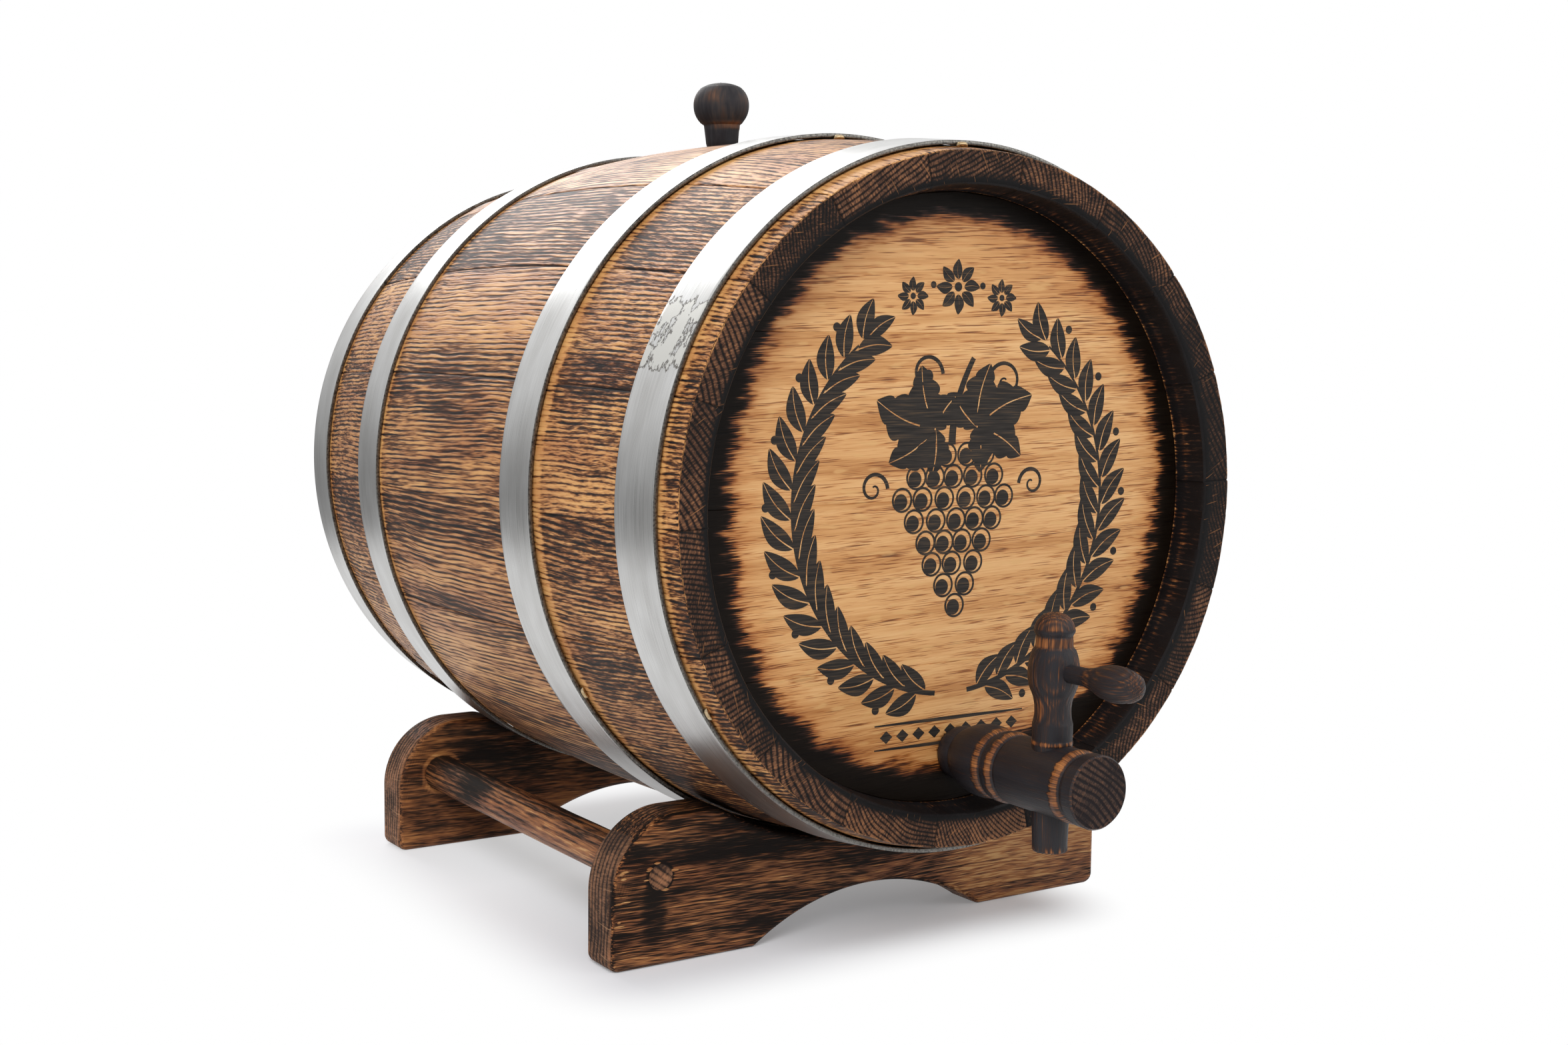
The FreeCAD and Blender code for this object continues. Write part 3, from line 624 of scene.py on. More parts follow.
# The bung's darker stops are bluish greys, lighter than its char: partly painted sheen, the dull blue-grey
# reflection of the surround put into the colour.
BUNG_STOPS = [(0.12, "#8A5F42"), (0.32, "#6A5246"), (0.46, "#52443F"), (0.58, "#434042"),
              (0.72, "#35363C"), (0.90, "#2A2B31")]
END_STOPS = [(0.16, "#8E603F"), (0.32, "#6C4A34"), (0.46, "#4E3529"), (0.60, "#35271F"),
             (0.76, "#241E1C"), (0.92, "#1B1A1A")]
TURNED_END_STOPS = [(0.20, "#6B4B37"), (0.36, "#50392D"), (0.50, "#332824"), (0.68, "#231E1F")]

stave_oak = torched_oak("torched_oak_stave", STAVE_STOPS)
chime_oak = end_grain("torched_oak_end_grain", END_STOPS, "#9A6A44", ray_wide=0.7, ring_weight=0.42,
                      ray_weight=1.0)
head_oak = waxed_head_oak("waxed_head_oak")
hoop_steel = brushed_strip("brushed_stainless_strip")
hoop_edge = strip_edge("sheared_strip_edge")
nail_brass = brass_wire("dull_brass_wire")
print_black = burnt_print("burnt_print")
turned_oak = torched_oak("torched_turned_oak", TURNED_STOPS, rings=0.03, lines=(0.9, 16.0, 0.45),
                         dashes=(0.4, 8.0, 0.6), shine=(0.3, 0.32), rough=(0.4, 0.5), depth=0.15,
                         fine_weight=0.6)
bung_oak = torched_oak("torched_bung_oak", BUNG_STOPS, rings=0.02, lines=(2.5, 9.0, 0.35),
                       dashes=(1.2, 5.0, 0.3), shine=(0.22, 0.22), rough=(0.5, 0.6), depth=0.1,
                       fine_weight=0.2)
turned_end = end_grain("torched_turned_end_grain", TURNED_END_STOPS, "#6A4A38", ray_wide=0.6,
                       ring_weight=0.38, ray_weight=0.5)
cradle_oak = torched_oak("torched_oak_cradle", CRADLE_STOPS, rings=0.11, lines=(0.75, 18.0, 1.3),
                         dashes=(0.45, 8.0, 1.1), shine=(0.22, 0.1))
soft_oak = torched_oak("torched_oak_sanded", CRADLE_STOPS, rings=0.08, lines=(1.5, 22.0, 0.75),
                       dashes=(0.7, 7.0, 0.7), shine=(0.22, 0.12), fine_weight=0.5)
cradle_end = end_grain("torched_cradle_end_grain", CRADLE_END_STOPS, "#A98463", ring_weight=0.26,
                       ray_weight=0.55)


# ------------------------------------------------------------------ staves
def bowed(y, end, middle, start=0.0):
    """Radius at y on the circle arc whose radius is middle halfway along the cask and end at
    start from each end."""
    half = LENGTH / 2 - start
    bow = (half * half + (middle - end) ** 2) / (2 * (middle - end))
    return middle - bow + np.sqrt(bow * bow - (y - LENGTH / 2) ** 2)


def stave_profile():
    """The stave's closed outline in y and radius, from the croze round the front end, along the
    outside and back inside, and the weight of the surface relief on each point: 1 outside and
    on the ends."""
    croze = [(INSIDE_FROM, INSIDE_R), (CROZE_TO, CROZE_R), (CROZE_FROM, CROZE_R), (HEAD_DEPTH, MOUTH_R)]
    wall = np.linspace((HEAD_DEPTH, MOUTH_R), (1.2, LIP_R), 9)[1:]
    corner = np.array([(0.35, LIP_R + 0.35), (0.0, FACE_R)])
    face = np.linspace((0.0, FACE_R), (0.0, END_R - 0.6), 20)[1:]
    edge = np.array([(0.2, END_R - 0.1)])
    y = np.linspace(0.9, LENGTH - 0.9, 211)
    outside = np.stack([y, bowed(y, END_R, BILGE_R)], 1)
    front = np.concatenate([croze, wall, corner, face, edge])
    rear = front[::-1] * [-1, 1] + [LENGTH, 0]
    y = np.linspace(LENGTH - INSIDE_FROM, INSIDE_FROM, 10)[1:-1]
    inside = np.stack([y, bowed(y, INSIDE_R, INSIDE_BILGE_R, INSIDE_FROM)], 1)
    points = np.concatenate([front, outside, rear, inside])
    weight = np.zeros(len(points))
    weight[len(croze):len(front) + len(outside) + len(rear) - len(croze)] = 1.0
    return points, weight


def stave_turns(half):
    """Angles across a stave, in degrees: even in the middle, close together at its joints."""
    near = np.array([0.0, 0.07, 0.16, 0.3, 0.5, 0.75])
    middle = np.linspace(-half + 1.0, half - 1.0, 74)
    return np.concatenate([-half + near, middle, half - near[::-1]])


# Mean burn of each stave's outside and of its ends, counted from the joint at the right.
STAVE_SCORCH = [0.0, 0.1, -0.1, 0.1, 0.0, -0.35, 0.05, -0.15, 0.0, 0.0, 0.0, 0.1, 0.1, 0.1, 0.2,
                0.0, 0.1, 0.1]
END_SCORCH = [0.25, 0.1, 0.0, -0.35, -0.15, 0.1, 0.05, -0.05, -0.15, -0.1, -0.05, -0.35, -0.4, -0.7,
              0.55, -0.05, -0.1, 0.2]
# Where the flame lingered on the staves or passed quickly: from and to in degrees round the cask, from and
# to along y, and how much more the wood is burnt, or less where it is below 0. Three marks low on the left
# by the cradle are painted shade, not burn: 229 to 242 degrees from 60 to 320 along y, 224 to 262 degrees
# from 20 to 80, and 230 to 262 degrees on the front lip from -20 to 12.
TORCH_AND_SHADE_MARKS = (
    (132, 142, 60, 300, 0.3), (121, 133, 90, 320, 0.3), (158, 163, -20, 340, 0.4),
    (143, 155, 90, 340, -0.1), (162, 169, 150, 225, 0.35), (170, 181, 100, 240, -0.1),
    (162, 168, 30, 90, 0.3), (171, 181, 30, 90, -0.2), (182, 190, 90, 225, 0.25),
    (183, 192, 235, 310, 0.45), (182, 194, 30, 90, 0.3), (199, 202, 60, 250, 0.2),
    (202, 210, 95, 150, 0.25), (206, 222, 110, 205, -0.25), (202, 215, 30, 78, 0.35),
    # The marks at 229 to 242 and at 224 to 262 degrees on the next line are painted shade low on the left.
    (208, 222, 205, 310, -0.2), (229, 242, 60, 320, 0.35), (224, 262, 20, 80, 0.4),
    (100, 222, 32, 78, 0.05), (98, 128, -20, 12, -0.4), (182, 218, -20, 12, 0.4),
    # The first mark on the next line, on the front lip low on the left, is painted shade.
    (230, 262, -20, 12, 0.5), (18, 33, 60, 250, 0.35), (3, 14, 30, 80, 0.35),
    (41, 54, 190, 310, 0.45), (58, 71, 80, 215, 0.35), (338, 352, 90, 240, 0.4),
    (300, 318, 50, 260, 0.3), (325, 337, 215, 310, 0.4))
# Strips that the hoops shaded from the flame: y of the hoop's front edge and the strip's width.
BARE = ((HOOP_EDGES["chime"], 1.2), (HOOP_EDGES["bilge"], 3.6),
        (LENGTH - HOOP_EDGES["bilge"] - HOOP_WIDTH, 1.9),
        (LENGTH - HOOP_EDGES["chime"] - HOOP_WIDTH, 1.4))


def stave_burn(index, y, r, degrees, across, on_end, inner_wall):
    """How much more a stave is burnt than its mean: the torch's marks, with painted shade low on the left by
    the cradle among them, pale strips that the hoops shaded from the flame, a burn of its own for the ends,
    a black wall in front of the head, and an outer lip that is worn pale with black nicks in it."""
    along = y + 0 * across
    extra = np.zeros(across.shape)
    for low, high, near, far, amount in TORCH_AND_SHADE_MARKS:
        extra += amount * band(degrees, low, high, 3.0) * band(along, near, far, 25.0)
    for edge, width in BARE:
        ragged = width + 0.9 * noise(across / 0.9, along / 8.0, 0.0, 7 + index)
        gap = edge - along
        shaded = smooth((gap + 1.6) / 0.4) * smooth((ragged - gap) / 1.2 + 0.5)
        extra = extra - shaded * (0.8 + 0.7 * extra)
    extra = np.where(on_end, END_SCORCH[index], extra) + np.where(inner_wall, 1.65, 0.0)
    outer_lip = ((y < HOOP_EDGES["chime"]) | (y > LENGTH - HOOP_EDGES["chime"])) & (r > END_R - 0.2)
    worn = noise(across / 3.0, along / 2.5, 0.0, 300 + index)
    notch = noise(across / 1.1, along / 5.0, 0.0, 330 + index)
    lip = -0.05 - 0.15 * worn + 0.8 * smooth((notch - 0.45) / 0.2)
    # The end face is burnt blacker towards its inner edge and worn at its outer one.
    face = (0.6 * smooth((113.0 - r) / 4.0) + smooth((110.6 - r) / 0.8)
            - (0.2 - 0.6 * worn) * smooth((r - END_R + 1.6) / 1.4))
    return extra + np.where(outer_lip, lip, 0.0) + np.where(on_end, face, 0.0)


def make_stave(index):
    """One stave: its outline carried round the cask's axis through its share of the circle. The
    burn sinks the surface by up to 0.15 mm, the joints have eased edges and the outside keeps
    the plane's slow unevenness."""
    profile, weight = stave_profile()
    half = 180.0 / STAVES - 0.01
    centre = FIRST_JOINT + (index + 0.5) * 360.0 / STAVES
    turns = stave_turns(half)
    y, r = profile[:, :1], profile[:, 1:]
    spread = np.radians(turns)[None, :]
    shade = np.random.default_rng(100 + index)
    swing = math.radians(shade.choice([0.0, 180.0]) + shade.uniform(-35, 35))
    far = shade.uniform(60, 120)
    log = Log(seed=17 * index + 3, pith=(far * math.cos(swing), far * math.sin(swing)),
              across=shade.uniform(1.6, 2.1), slope=shade.uniform(-0.05, 0.05),
              scorch=STAVE_SCORCH[index], rings=0.0, patches=shade.uniform(0.2, 0.35))
    across = spread * MEAN_R + 0 * y
    deep = r - END_R + 0 * spread
    along = y + 0 * spread
    on_end = ((y < 1.0) | (y > LENGTH - 1.0)) & (r < END_R - 0.2)
    inner_wall = (r < FACE_R - 0.5) & (weight[:, None] > 0)
    degrees = centre + np.degrees(spread) + 0 * y
    extra = stave_burn(index, y, r, degrees, across, on_end, inner_wall)
    edge_far = (half - np.abs(turns))[None, :] * math.pi / 180 * MEAN_R + 0 * y
    # Up to 0.5 more burn within 0.6 mm of each joint: painted shade in the V between the staves.
    fields = log.fields(across, deep, along, extra + 0.5 * np.clip(1 - edge_far / 0.6, 0, 1))
    # On the sawn ends the rings slant across the stave.
    slant = math.radians(shade.choice([-1, 1]) * shade.uniform(5, 85))
    log.pith = (70.0 * math.cos(slant), 70.0 * math.sin(slant))
    log.across = shade.uniform(1.2, 2.3)
    sawn = log.fields(across, deep, along)
    for field in ("ring", "ray"):
        fields[field] = np.where(on_end, sawn[field], fields[field])
    sink = 0.15 * smooth((fields["burn"] - 0.35) / 0.35)
    sink = sink + 0.35 * np.clip(1 - edge_far / 0.8, 0, 1) ** 2
    hand = 0.12 * noise(across / 14.0, along / 45.0, 0.0, 900 + index)
    sink = weight[:, None] * (sink + 0.12 - hand)
    end_side = np.where(y < LENGTH / 2, 1.0, -1.0)
    y_moved = along + np.where(on_end, end_side * sink * 0.7, 0.0)
    r_moved = r - np.where(on_end, 0.0, sink)
    turn = np.radians(centre) + spread
    p = np.stack([r_moved * np.cos(turn), y_moved, r_moved * np.sin(turn)], 2)
    rows, columns = p.shape[:2]
    quads = grid_quads(rows, columns, wrap_rows=True)
    caps = end_caps(rows, columns, wrap_rows=True)
    end_row = (on_end & np.roll(on_end, -1, 0)).ravel()
    which = np.concatenate([np.repeat(end_row, columns - 1), [0, 0]])
    name = "stave_%02d" % (index + 1)
    made = new_mesh(name + "_torched", cask_metres(p.reshape(-1, 3)), quads, caps, fields, which)
    return made, name


for index in range(STAVES):
    made, name = make_stave(index)
    finished(made, [stave_oak, chime_oak], "cask", [name])


# ------------------------------------------------------------------ heads
def head_half(z, radius):
    """Half the chord of a circle at height z, and at least 1 mm."""
    return np.sqrt(np.maximum(radius * radius - z * z, 1.0))


def make_head(low, high, rear, columns=110, rows=46):
    """One head board, from the joint at low to the one at high. Its face is a grid of heights
    between the two and places across the chord; the edge is the face's border carried over a
    bevelled rim that fits the croze, and the back is flat. loops holds the place y, the radius
    and, along the joints, the inset of each of the rim's edges."""
    gap = 0.1
    loops = [(HEAD_DEPTH, MOUTH_R - 3 * gap, 0.15), (HEAD_DEPTH + 0.2, MOUTH_R - gap, 0.0),
             (CROZE_FROM + gap, CROZE_R - 3 * gap, 0.0), (CROZE_TO - gap, CROZE_R - 3 * gap, 0.0),
             (HEAD_DEPTH + HEAD_THICK, MOUTH_R - 7 * gap, 0.0)]
    u = np.linspace(-1, 1, columns)[None, :]
    v = np.linspace(0, 1, rows)[:, None]

    def layer(place, radius, inset):
        bottom = -radius * 0.9999 if low is None else low + inset
        top = radius * 0.9999 if high is None else high - inset
        z = bottom + v * (top - bottom)
        x = u * head_half(z, radius)
        y = place + 0 * x
        if rear:
            x, y = -x, LENGTH - y
        return np.stack([x, y, z + 0 * x], 2).reshape(-1, 3)

    border = border_of(rows, columns)
    rims = [layer(*loop)[border] for loop in loops[1:]]
    points = np.concatenate([layer(*loops[0])] + rims)
    rim_numbers = rows * columns + np.arange(len(rims) * len(border)).reshape(len(rims), -1)
    quads = [grid_quads(rows, columns)] + stitched([border, *rim_numbers])
    return points, np.concatenate(quads), [rim_numbers[-1]]


# How much further in than its least the burnt rim reaches: degrees round from the right, and millimetres.
# The 9 mm at -75 degrees, beside the tap on its right, stands for the tap's shadow: painted shade.
RIM_REACH_AND_TAP_SHADE = np.array([(-180, 6.5), (-140, 1.7), (-120, 1.5), (-100, 4.0), (-75, 9.0), (-40, 1.5),
                   (-20, 3.0), (20, 1.0), (60, 1.0), (120, 0.0), (160, 4.5), (180, 6.5)])
joints = (None,) + HEAD_JOINTS + (None,)
for end in ("front", "rear"):
    for number in range(4):
        points, quads, caps = make_head(joints[number], joints[number + 1], end == "rear")
        name = "%s_head_%d" % (end, number + 1)
        cut_from = np.full(len(points), 0.37 * number + 1.9 * (end == "rear"))
        degrees = np.degrees(np.arctan2(points[:, 2], points[:, 0]))
        fields = {"board": cut_from, "licked": np.interp(degrees, RIM_REACH_AND_TAP_SHADE[:, 0], RIM_REACH_AND_TAP_SHADE[:, 1])}
        made = new_mesh(name + "_waxed", cask_metres(points), quads, caps, fields)
        finished(made, [head_oak], "cask", [name])


# ------------------------------------------------------------------ burnt design on the front head
class Print:
    """Flat marks on the front head, under 0.1 mm proud of it, gathered into one mesh. x runs to
    the right and z up from the cask's axis."""

    # How far level 0 stands proud, and how much further each level after it.
    least_proud, step_proud = 0.03, 0.0026

    def __init__(self):
        self.points, self.quads, self.caps, self.count = [], [], [], 0

    def ribbon(self, a, b, closed=False, level=None):
        """The strip between two lines of points, as a closed thin solid. Marks that overlap lie
        at levels of their own, the strokes on the lowest four."""
        n = len(a)
        level = 4 + len(self.points) % 22 if level is None else level
        front, back = HEAD_DEPTH - self.least_proud - self.step_proud * level, HEAD_DEPTH + 0.1
        rows = [np.stack([line[:, 0], np.full(n, y), line[:, 1]], 1)
                for line, y in ((a, front), (b, front), (b, back), (a, back))]
        quads = grid_quads(4, n, wrap_rows=True, wrap_columns=closed)
        ends = end_caps(4, n, wrap_rows=True)
        turn = np.cross(b[n // 2] - a[n // 2], a[(n // 2 + 1) % n] - a[n // 2])
        if turn < 0:
            quads, ends = quads[:, ::-1], [end[::-1] for end in ends]
        self.points.append(np.concatenate(rows))
        self.quads.append(quads + self.count)
        if not closed:
            self.caps += [end + self.count for end in ends]
        self.count += 4 * n

    def stroke(self, line, width):
        """A line of points drawn width wide; width may change along it."""
        ahead = np.gradient(line, axis=0)
        ahead /= np.linalg.norm(ahead, axis=1, keepdims=True)
        side = np.stack([-ahead[:, 1], ahead[:, 0]], 1) * np.reshape(width, (-1, 1)) / 2
        self.ribbon(line + side, line - side, level=len(self.points) % 4)

    def disc(self, x, z, radius):
        """A disc, as the strip between its upper and its lower half circle."""
        turn = np.linspace(0.04, math.pi - 0.04, 15)
        half = np.stack([np.cos(turn), np.sin(turn)], 1) * radius
        self.ribbon(half * [1, 1] + [x, z], half * [1, -1] + [x, z])

    def circle(self, x, z, radius, width, steps):
        """A ring, as the strip between two circles."""
        turn = np.linspace(0, TAU, steps, endpoint=False)
        round_ = np.stack([np.cos(turn), np.sin(turn)], 1)
        self.ribbon(round_ * radius + [x, z], round_ * (radius - width) + [x, z], closed=True)

    def leaf(self, x, z, way, length, width, teeth=0, rib=0.5):
        """A pointed leaf in two halves, with its bare midrib between. way is its direction in
        degrees; the edge bulges as sin(pi t) to a power, with scalloped teeth if asked."""
        t = np.linspace(0.0, 1.0, 10 * max(teeth, 2) + 1)
        ahead = np.array([math.cos(math.radians(way)), math.sin(math.radians(way))])
        side = np.array([-ahead[1], ahead[0]])
        bulge = width / 2 * np.sin(math.pi * t ** 0.85) ** 0.85
        if teeth:
            bulge = bulge * (0.8 + 0.26 * np.abs(np.sin(math.pi * t * teeth)) ** 0.7)
        bend = 0.07 * length * np.sin(math.pi * t)
        line = np.array([x, z]) + t[:, None] * length * ahead + bend[:, None] * side
        gap = rib / 2 * (1 - 0.6 * t)
        for hand in (1.0, -1.0):
            inner = line + hand * gap[:, None] * side
            outer = line + hand * (gap + 0.1 + bulge)[:, None] * side
            self.ribbon(inner, outer)

    def vine_leaf(self, x, z, way, size):
        """Five toothed lobes spread from the stalk like fingers."""
        for turn, part in ((0, 1.0), (52, 0.84), (-52, 0.84), (108, 0.6), (-108, 0.6)):
            self.leaf(x, z, way + turn, size * part, size * part * 0.62, teeth=4, rib=0.7)

    def rosette(self, x, z, size, petals=8):
        """Petals spread evenly round a disc."""
        for k in range(petals):
            turn = TAU * k / petals
            self.leaf(x + 0.28 * size * math.cos(turn), z + 0.28 * size * math.sin(turn),
                      math.degrees(turn), 0.72 * size, 0.4 * size, rib=0.15)
        self.disc(x, z, 0.17 * size)


def around(degrees, radius):
    """Points x, z on a circle about the cask's axis."""
    return np.stack([np.cos(np.radians(degrees)), np.sin(np.radians(degrees))], -1) * radius


def draw_grapes(ink):
    """A bunch of grapes: rows of rings, each with a disc set off-centre in it that leaves a
    bright crescent, under two vine leaves and a bent stalk."""
    for row, (count, z) in enumerate(((4, 16.0), (5, 8.4), (6, 0.8), (5, -6.8), (4, -14.4),
                                      (3, -22.0), (2, -29.6), (1, -37.0))):
        for k in range(count):
            x = 8.8 * (k - (count - 1) / 2) + 0.9 * math.sin(2.1 * row + k)
            ink.circle(x, z, 4.35, 0.8, 30)
            ink.disc(x - 0.55, z - 0.6, 2.75)
    ink.vine_leaf(-9.0, 25.0, 158.0, 27.0)
    ink.vine_leaf(9.5, 25.5, 24.0, 27.0)
    t = np.linspace(0, 1, 24)
    ink.stroke(np.stack([-1.5 + 9 * t ** 2, 19.5 + 30 * t], 1), 3.2 - 1.2 * t)


def draw_tendrils(ink):
    """Spirals that tighten as they go."""
    for hand, x, z, size in ((1, 14.0, 41.0, 8.0), (-1, -6.0, 44.0, 7.0), (1, 29.0, 5.0, 6.0),
                             (-1, -29.0, 5.0, 6.0)):
        turn = np.linspace(0, 2.6 * math.pi, 60)
        reach = size * (1 - turn / (2.9 * math.pi))
        line = np.stack([x + hand * (size - reach * np.cos(turn)), z + reach * np.sin(turn)], 1)
        ink.stroke(line, np.linspace(1.5, 0.6, 60))


def draw_wreath(ink, stem_r=68.0):
    """Two stems along one circle, with leaves to both sides, berries and a leaf at the tip."""
    for hand in (1.0, -1.0):
        stem = around(np.linspace(-84, 52, 90), stem_r) * [hand, 1]
        ink.stroke(stem, np.linspace(1.8, 0.8, 90))
        for k, at in enumerate(np.arange(-80.0, 53.0, 8.2)):
            size = 17.0 - 0.045 * abs(at + 15)
            for out in (1, -1):
                x, z = around(at + 3.0 * (out > 0), stem_r + 0.9 * out) * [hand, 1]
                way = at + 90 - 34 * out
                ink.leaf(x, z, way if hand > 0 else 180 - way, size, 6.6)
            if k % 2:
                x, z = around(at + 6.5, 78.5) * [hand, 1]
                ink.disc(x, z, 1.5)
        x, z = around(56.0, stem_r) * [hand, 1]
        ink.leaf(x, z, 148.0 if hand > 0 else 32.0, 13.0, 5.6)


def draw_rules(ink, half=33.0):
    """Two rules, thickest in the middle, with lozenges between them."""
    for z in (-77.0, -85.5):
        ink.stroke(np.stack([np.linspace(-half, half, 12), np.full(12, z)], 1),
                   0.4 + 0.9 * np.sin(np.linspace(0.1, math.pi - 0.1, 12)))
    for x in 7.0 * np.arange(-4, 5):
        ink.ribbon(np.array([[x - 2.6, -81.2], [x, -79.0], [x + 2.6, -81.2]]),
                   np.array([[x - 2.6, -81.3], [x, -83.5], [x + 2.6, -81.3]]))


def draw_design():
    """A bunch of grapes inside an open wreath, with rosettes above and two rules below."""
    ink = Print()
    draw_grapes(ink)
    draw_tendrils(ink)
    draw_wreath(ink)
    ink.rosette(0.0, 74.0, 9.5)
    for hand in (1, -1):
        ink.rosette(hand * 19.5, 70.5, 6.5)
        ink.disc(hand * 10.8, 74.5, 1.2)
    draw_rules(ink)
    return np.concatenate(ink.points), np.concatenate(ink.quads), ink.caps


points, quads, caps = draw_design()
made = new_mesh("burnt_design", cask_metres(points), quads, caps)
finished(made, [print_black], "cask")


# ------------------------------------------------------------------ hoops
def stave_parabola(y):
    """Radius at y on the parabola that the hoops were fitted to."""
    return BILGE_R - (BILGE_R - END_R) * (1 - 2 * y / LENGTH) ** 2


def give_strip_map(mesh, steps, radius, s):
    """The strip's own map, in metres: round the cask at radius, and across the strip by s, the
    place of each of its lines. The faces at the seam run on past the last of the steps."""
    corner = np.zeros(len(mesh.loops), np.int32)
    mesh.loops.foreach_get("vertex_index", corner)
    faces = (corner % steps).astype(float).reshape(-1, 4)
    seam = faces.max(1) - faces.min(1) > steps / 2
    faces[seam] = np.where(faces[seam] < steps / 2, faces[seam] + steps, faces[seam])
    place = np.stack([faces.ravel() / steps * TAU * radius * MM, s[corner // steps] * MM], 1)
    mesh.uv_layers.new(name="strip").data.foreach_set("uv", place.ravel().astype(np.float32))


def make_hoop(edge, rear, weld, seed, steps=720):
    """A strip's rounded section carried round the cask's axis, with a slow unevenness of 0.05 mm
    in its radius that bends the reflections."""
    # The strip's edge towards the bilge sits on the staves, and the other one stands off them.
    low = stave_parabola(edge) + HOOP_LIFT
    high = stave_parabola(edge + HOOP_WIDTH) + HOOP_SEAT
    lean = (high - low) / HOOP_WIDTH
    ease = 0.22
    s = np.array([ease, 0.08, 0.0, 0.0, 0.08, ease])
    h = np.array([0.0, 0.05, ease, HOOP_THICK - ease, HOOP_THICK - 0.05, HOOP_THICK])
    face = np.linspace(ease, HOOP_WIDTH - ease, 16)[1:-1]
    s = np.concatenate([s, face, HOOP_WIDTH - s[::-1]])
    h = np.concatenate([h, np.full(len(face), HOOP_THICK), h[::-1]])
    turn = np.linspace(0, TAU, steps, endpoint=False)[None, :]
    y = (edge + s)[:, None] + 0 * turn
    sway = 0.05
    uneven = sway * noise(6 * np.cos(turn), 6 * np.sin(turn), s[:, None] / 14.0, seed)
    r = (low + lean * s + h)[:, None] + uneven - sway
    if rear:
        y = LENGTH - y
    p = np.stack([r * np.cos(turn), y, r * np.sin(turn)], 2)
    degrees = np.degrees(turn) + 0 * y
    near = 1 - np.abs(degrees - WELD_AT) / WELD_HALF
    mark = np.clip(1.3 * near, 0, 1) if weld else np.zeros(y.shape)
    quads = grid_quads(len(s), steps, wrap_rows=True, wrap_columns=True)
    on_face = h > HOOP_THICK - 0.01
    flat = on_face & np.roll(on_face, -1)
    which = np.repeat(~flat, steps)
    made = new_mesh("hoop", cask_metres(p.reshape(-1, 3)), quads, (), {"weld": mark.ravel()},
                    which, crease=50.0)
    give_strip_map(made.data, steps, low, s)
    return made


for end in ("front", "rear"):
    for seed, (kind, edge) in enumerate(HOOP_EDGES.items()):
        rear = end == "rear"
        name = "%s_%s_hoop" % (end, kind)
        made = make_hoop(edge, rear, name == "front_chime_hoop", seed + 2 * rear)
        made.name = name + "_strip"
        finished(made, [hoop_steel, hoop_edge], "cask", [name])


def nail_heads(rows=13, sides=10):
    """Bent wire heads along each hoop's chime side: a round bar, bowed so that both its ends
    run into the wood."""
    wire_r, half_long, off_edge = 0.8, 2.4, 0.85
    along = np.linspace(-1, 1, rows)[:, None]
    round_ = np.linspace(0, TAU, sides, endpoint=False)[None, :]
    radius = wire_r * np.sqrt(np.clip(1 - along ** 6, 0.02, 1))
    x = half_long * along + 0 * round_
    lift = 0.85 - 0.7 * along ** 4 + radius * np.sin(round_)
    points, quads, caps = [], [], []
    for edge in HOOP_EDGES.values():
        for near in (edge - off_edge, LENGTH - edge + off_edge):
            for turn in range(NAILS):
                y = near + radius * np.cos(round_)
                r = stave_parabola(near) + lift
                spin = math.radians(FIRST_NAIL + turn * 360.0 / NAILS)
                out = np.array([math.cos(spin), 0, math.sin(spin)])
                side = np.array([-math.sin(spin), 0, math.cos(spin)])
                p = r[..., None] * out + x[..., None] * side + y[..., None] * np.array([0, 1.0, 0])
                start = rows * sides * len(points)
                points.append(p.reshape(-1, 3))
                quads.append(start + grid_quads(rows, sides, wrap_columns=True))
                caps += [start + cap for cap in end_caps(rows, sides)]
    return np.concatenate(points), np.concatenate(quads), caps


points, quads, caps = nail_heads()
made = new_mesh("hoop_nails_bent", cask_metres(points), quads, caps, crease=60.0)
finished(made, [nail_brass], "cask", ["hoop_nails"])


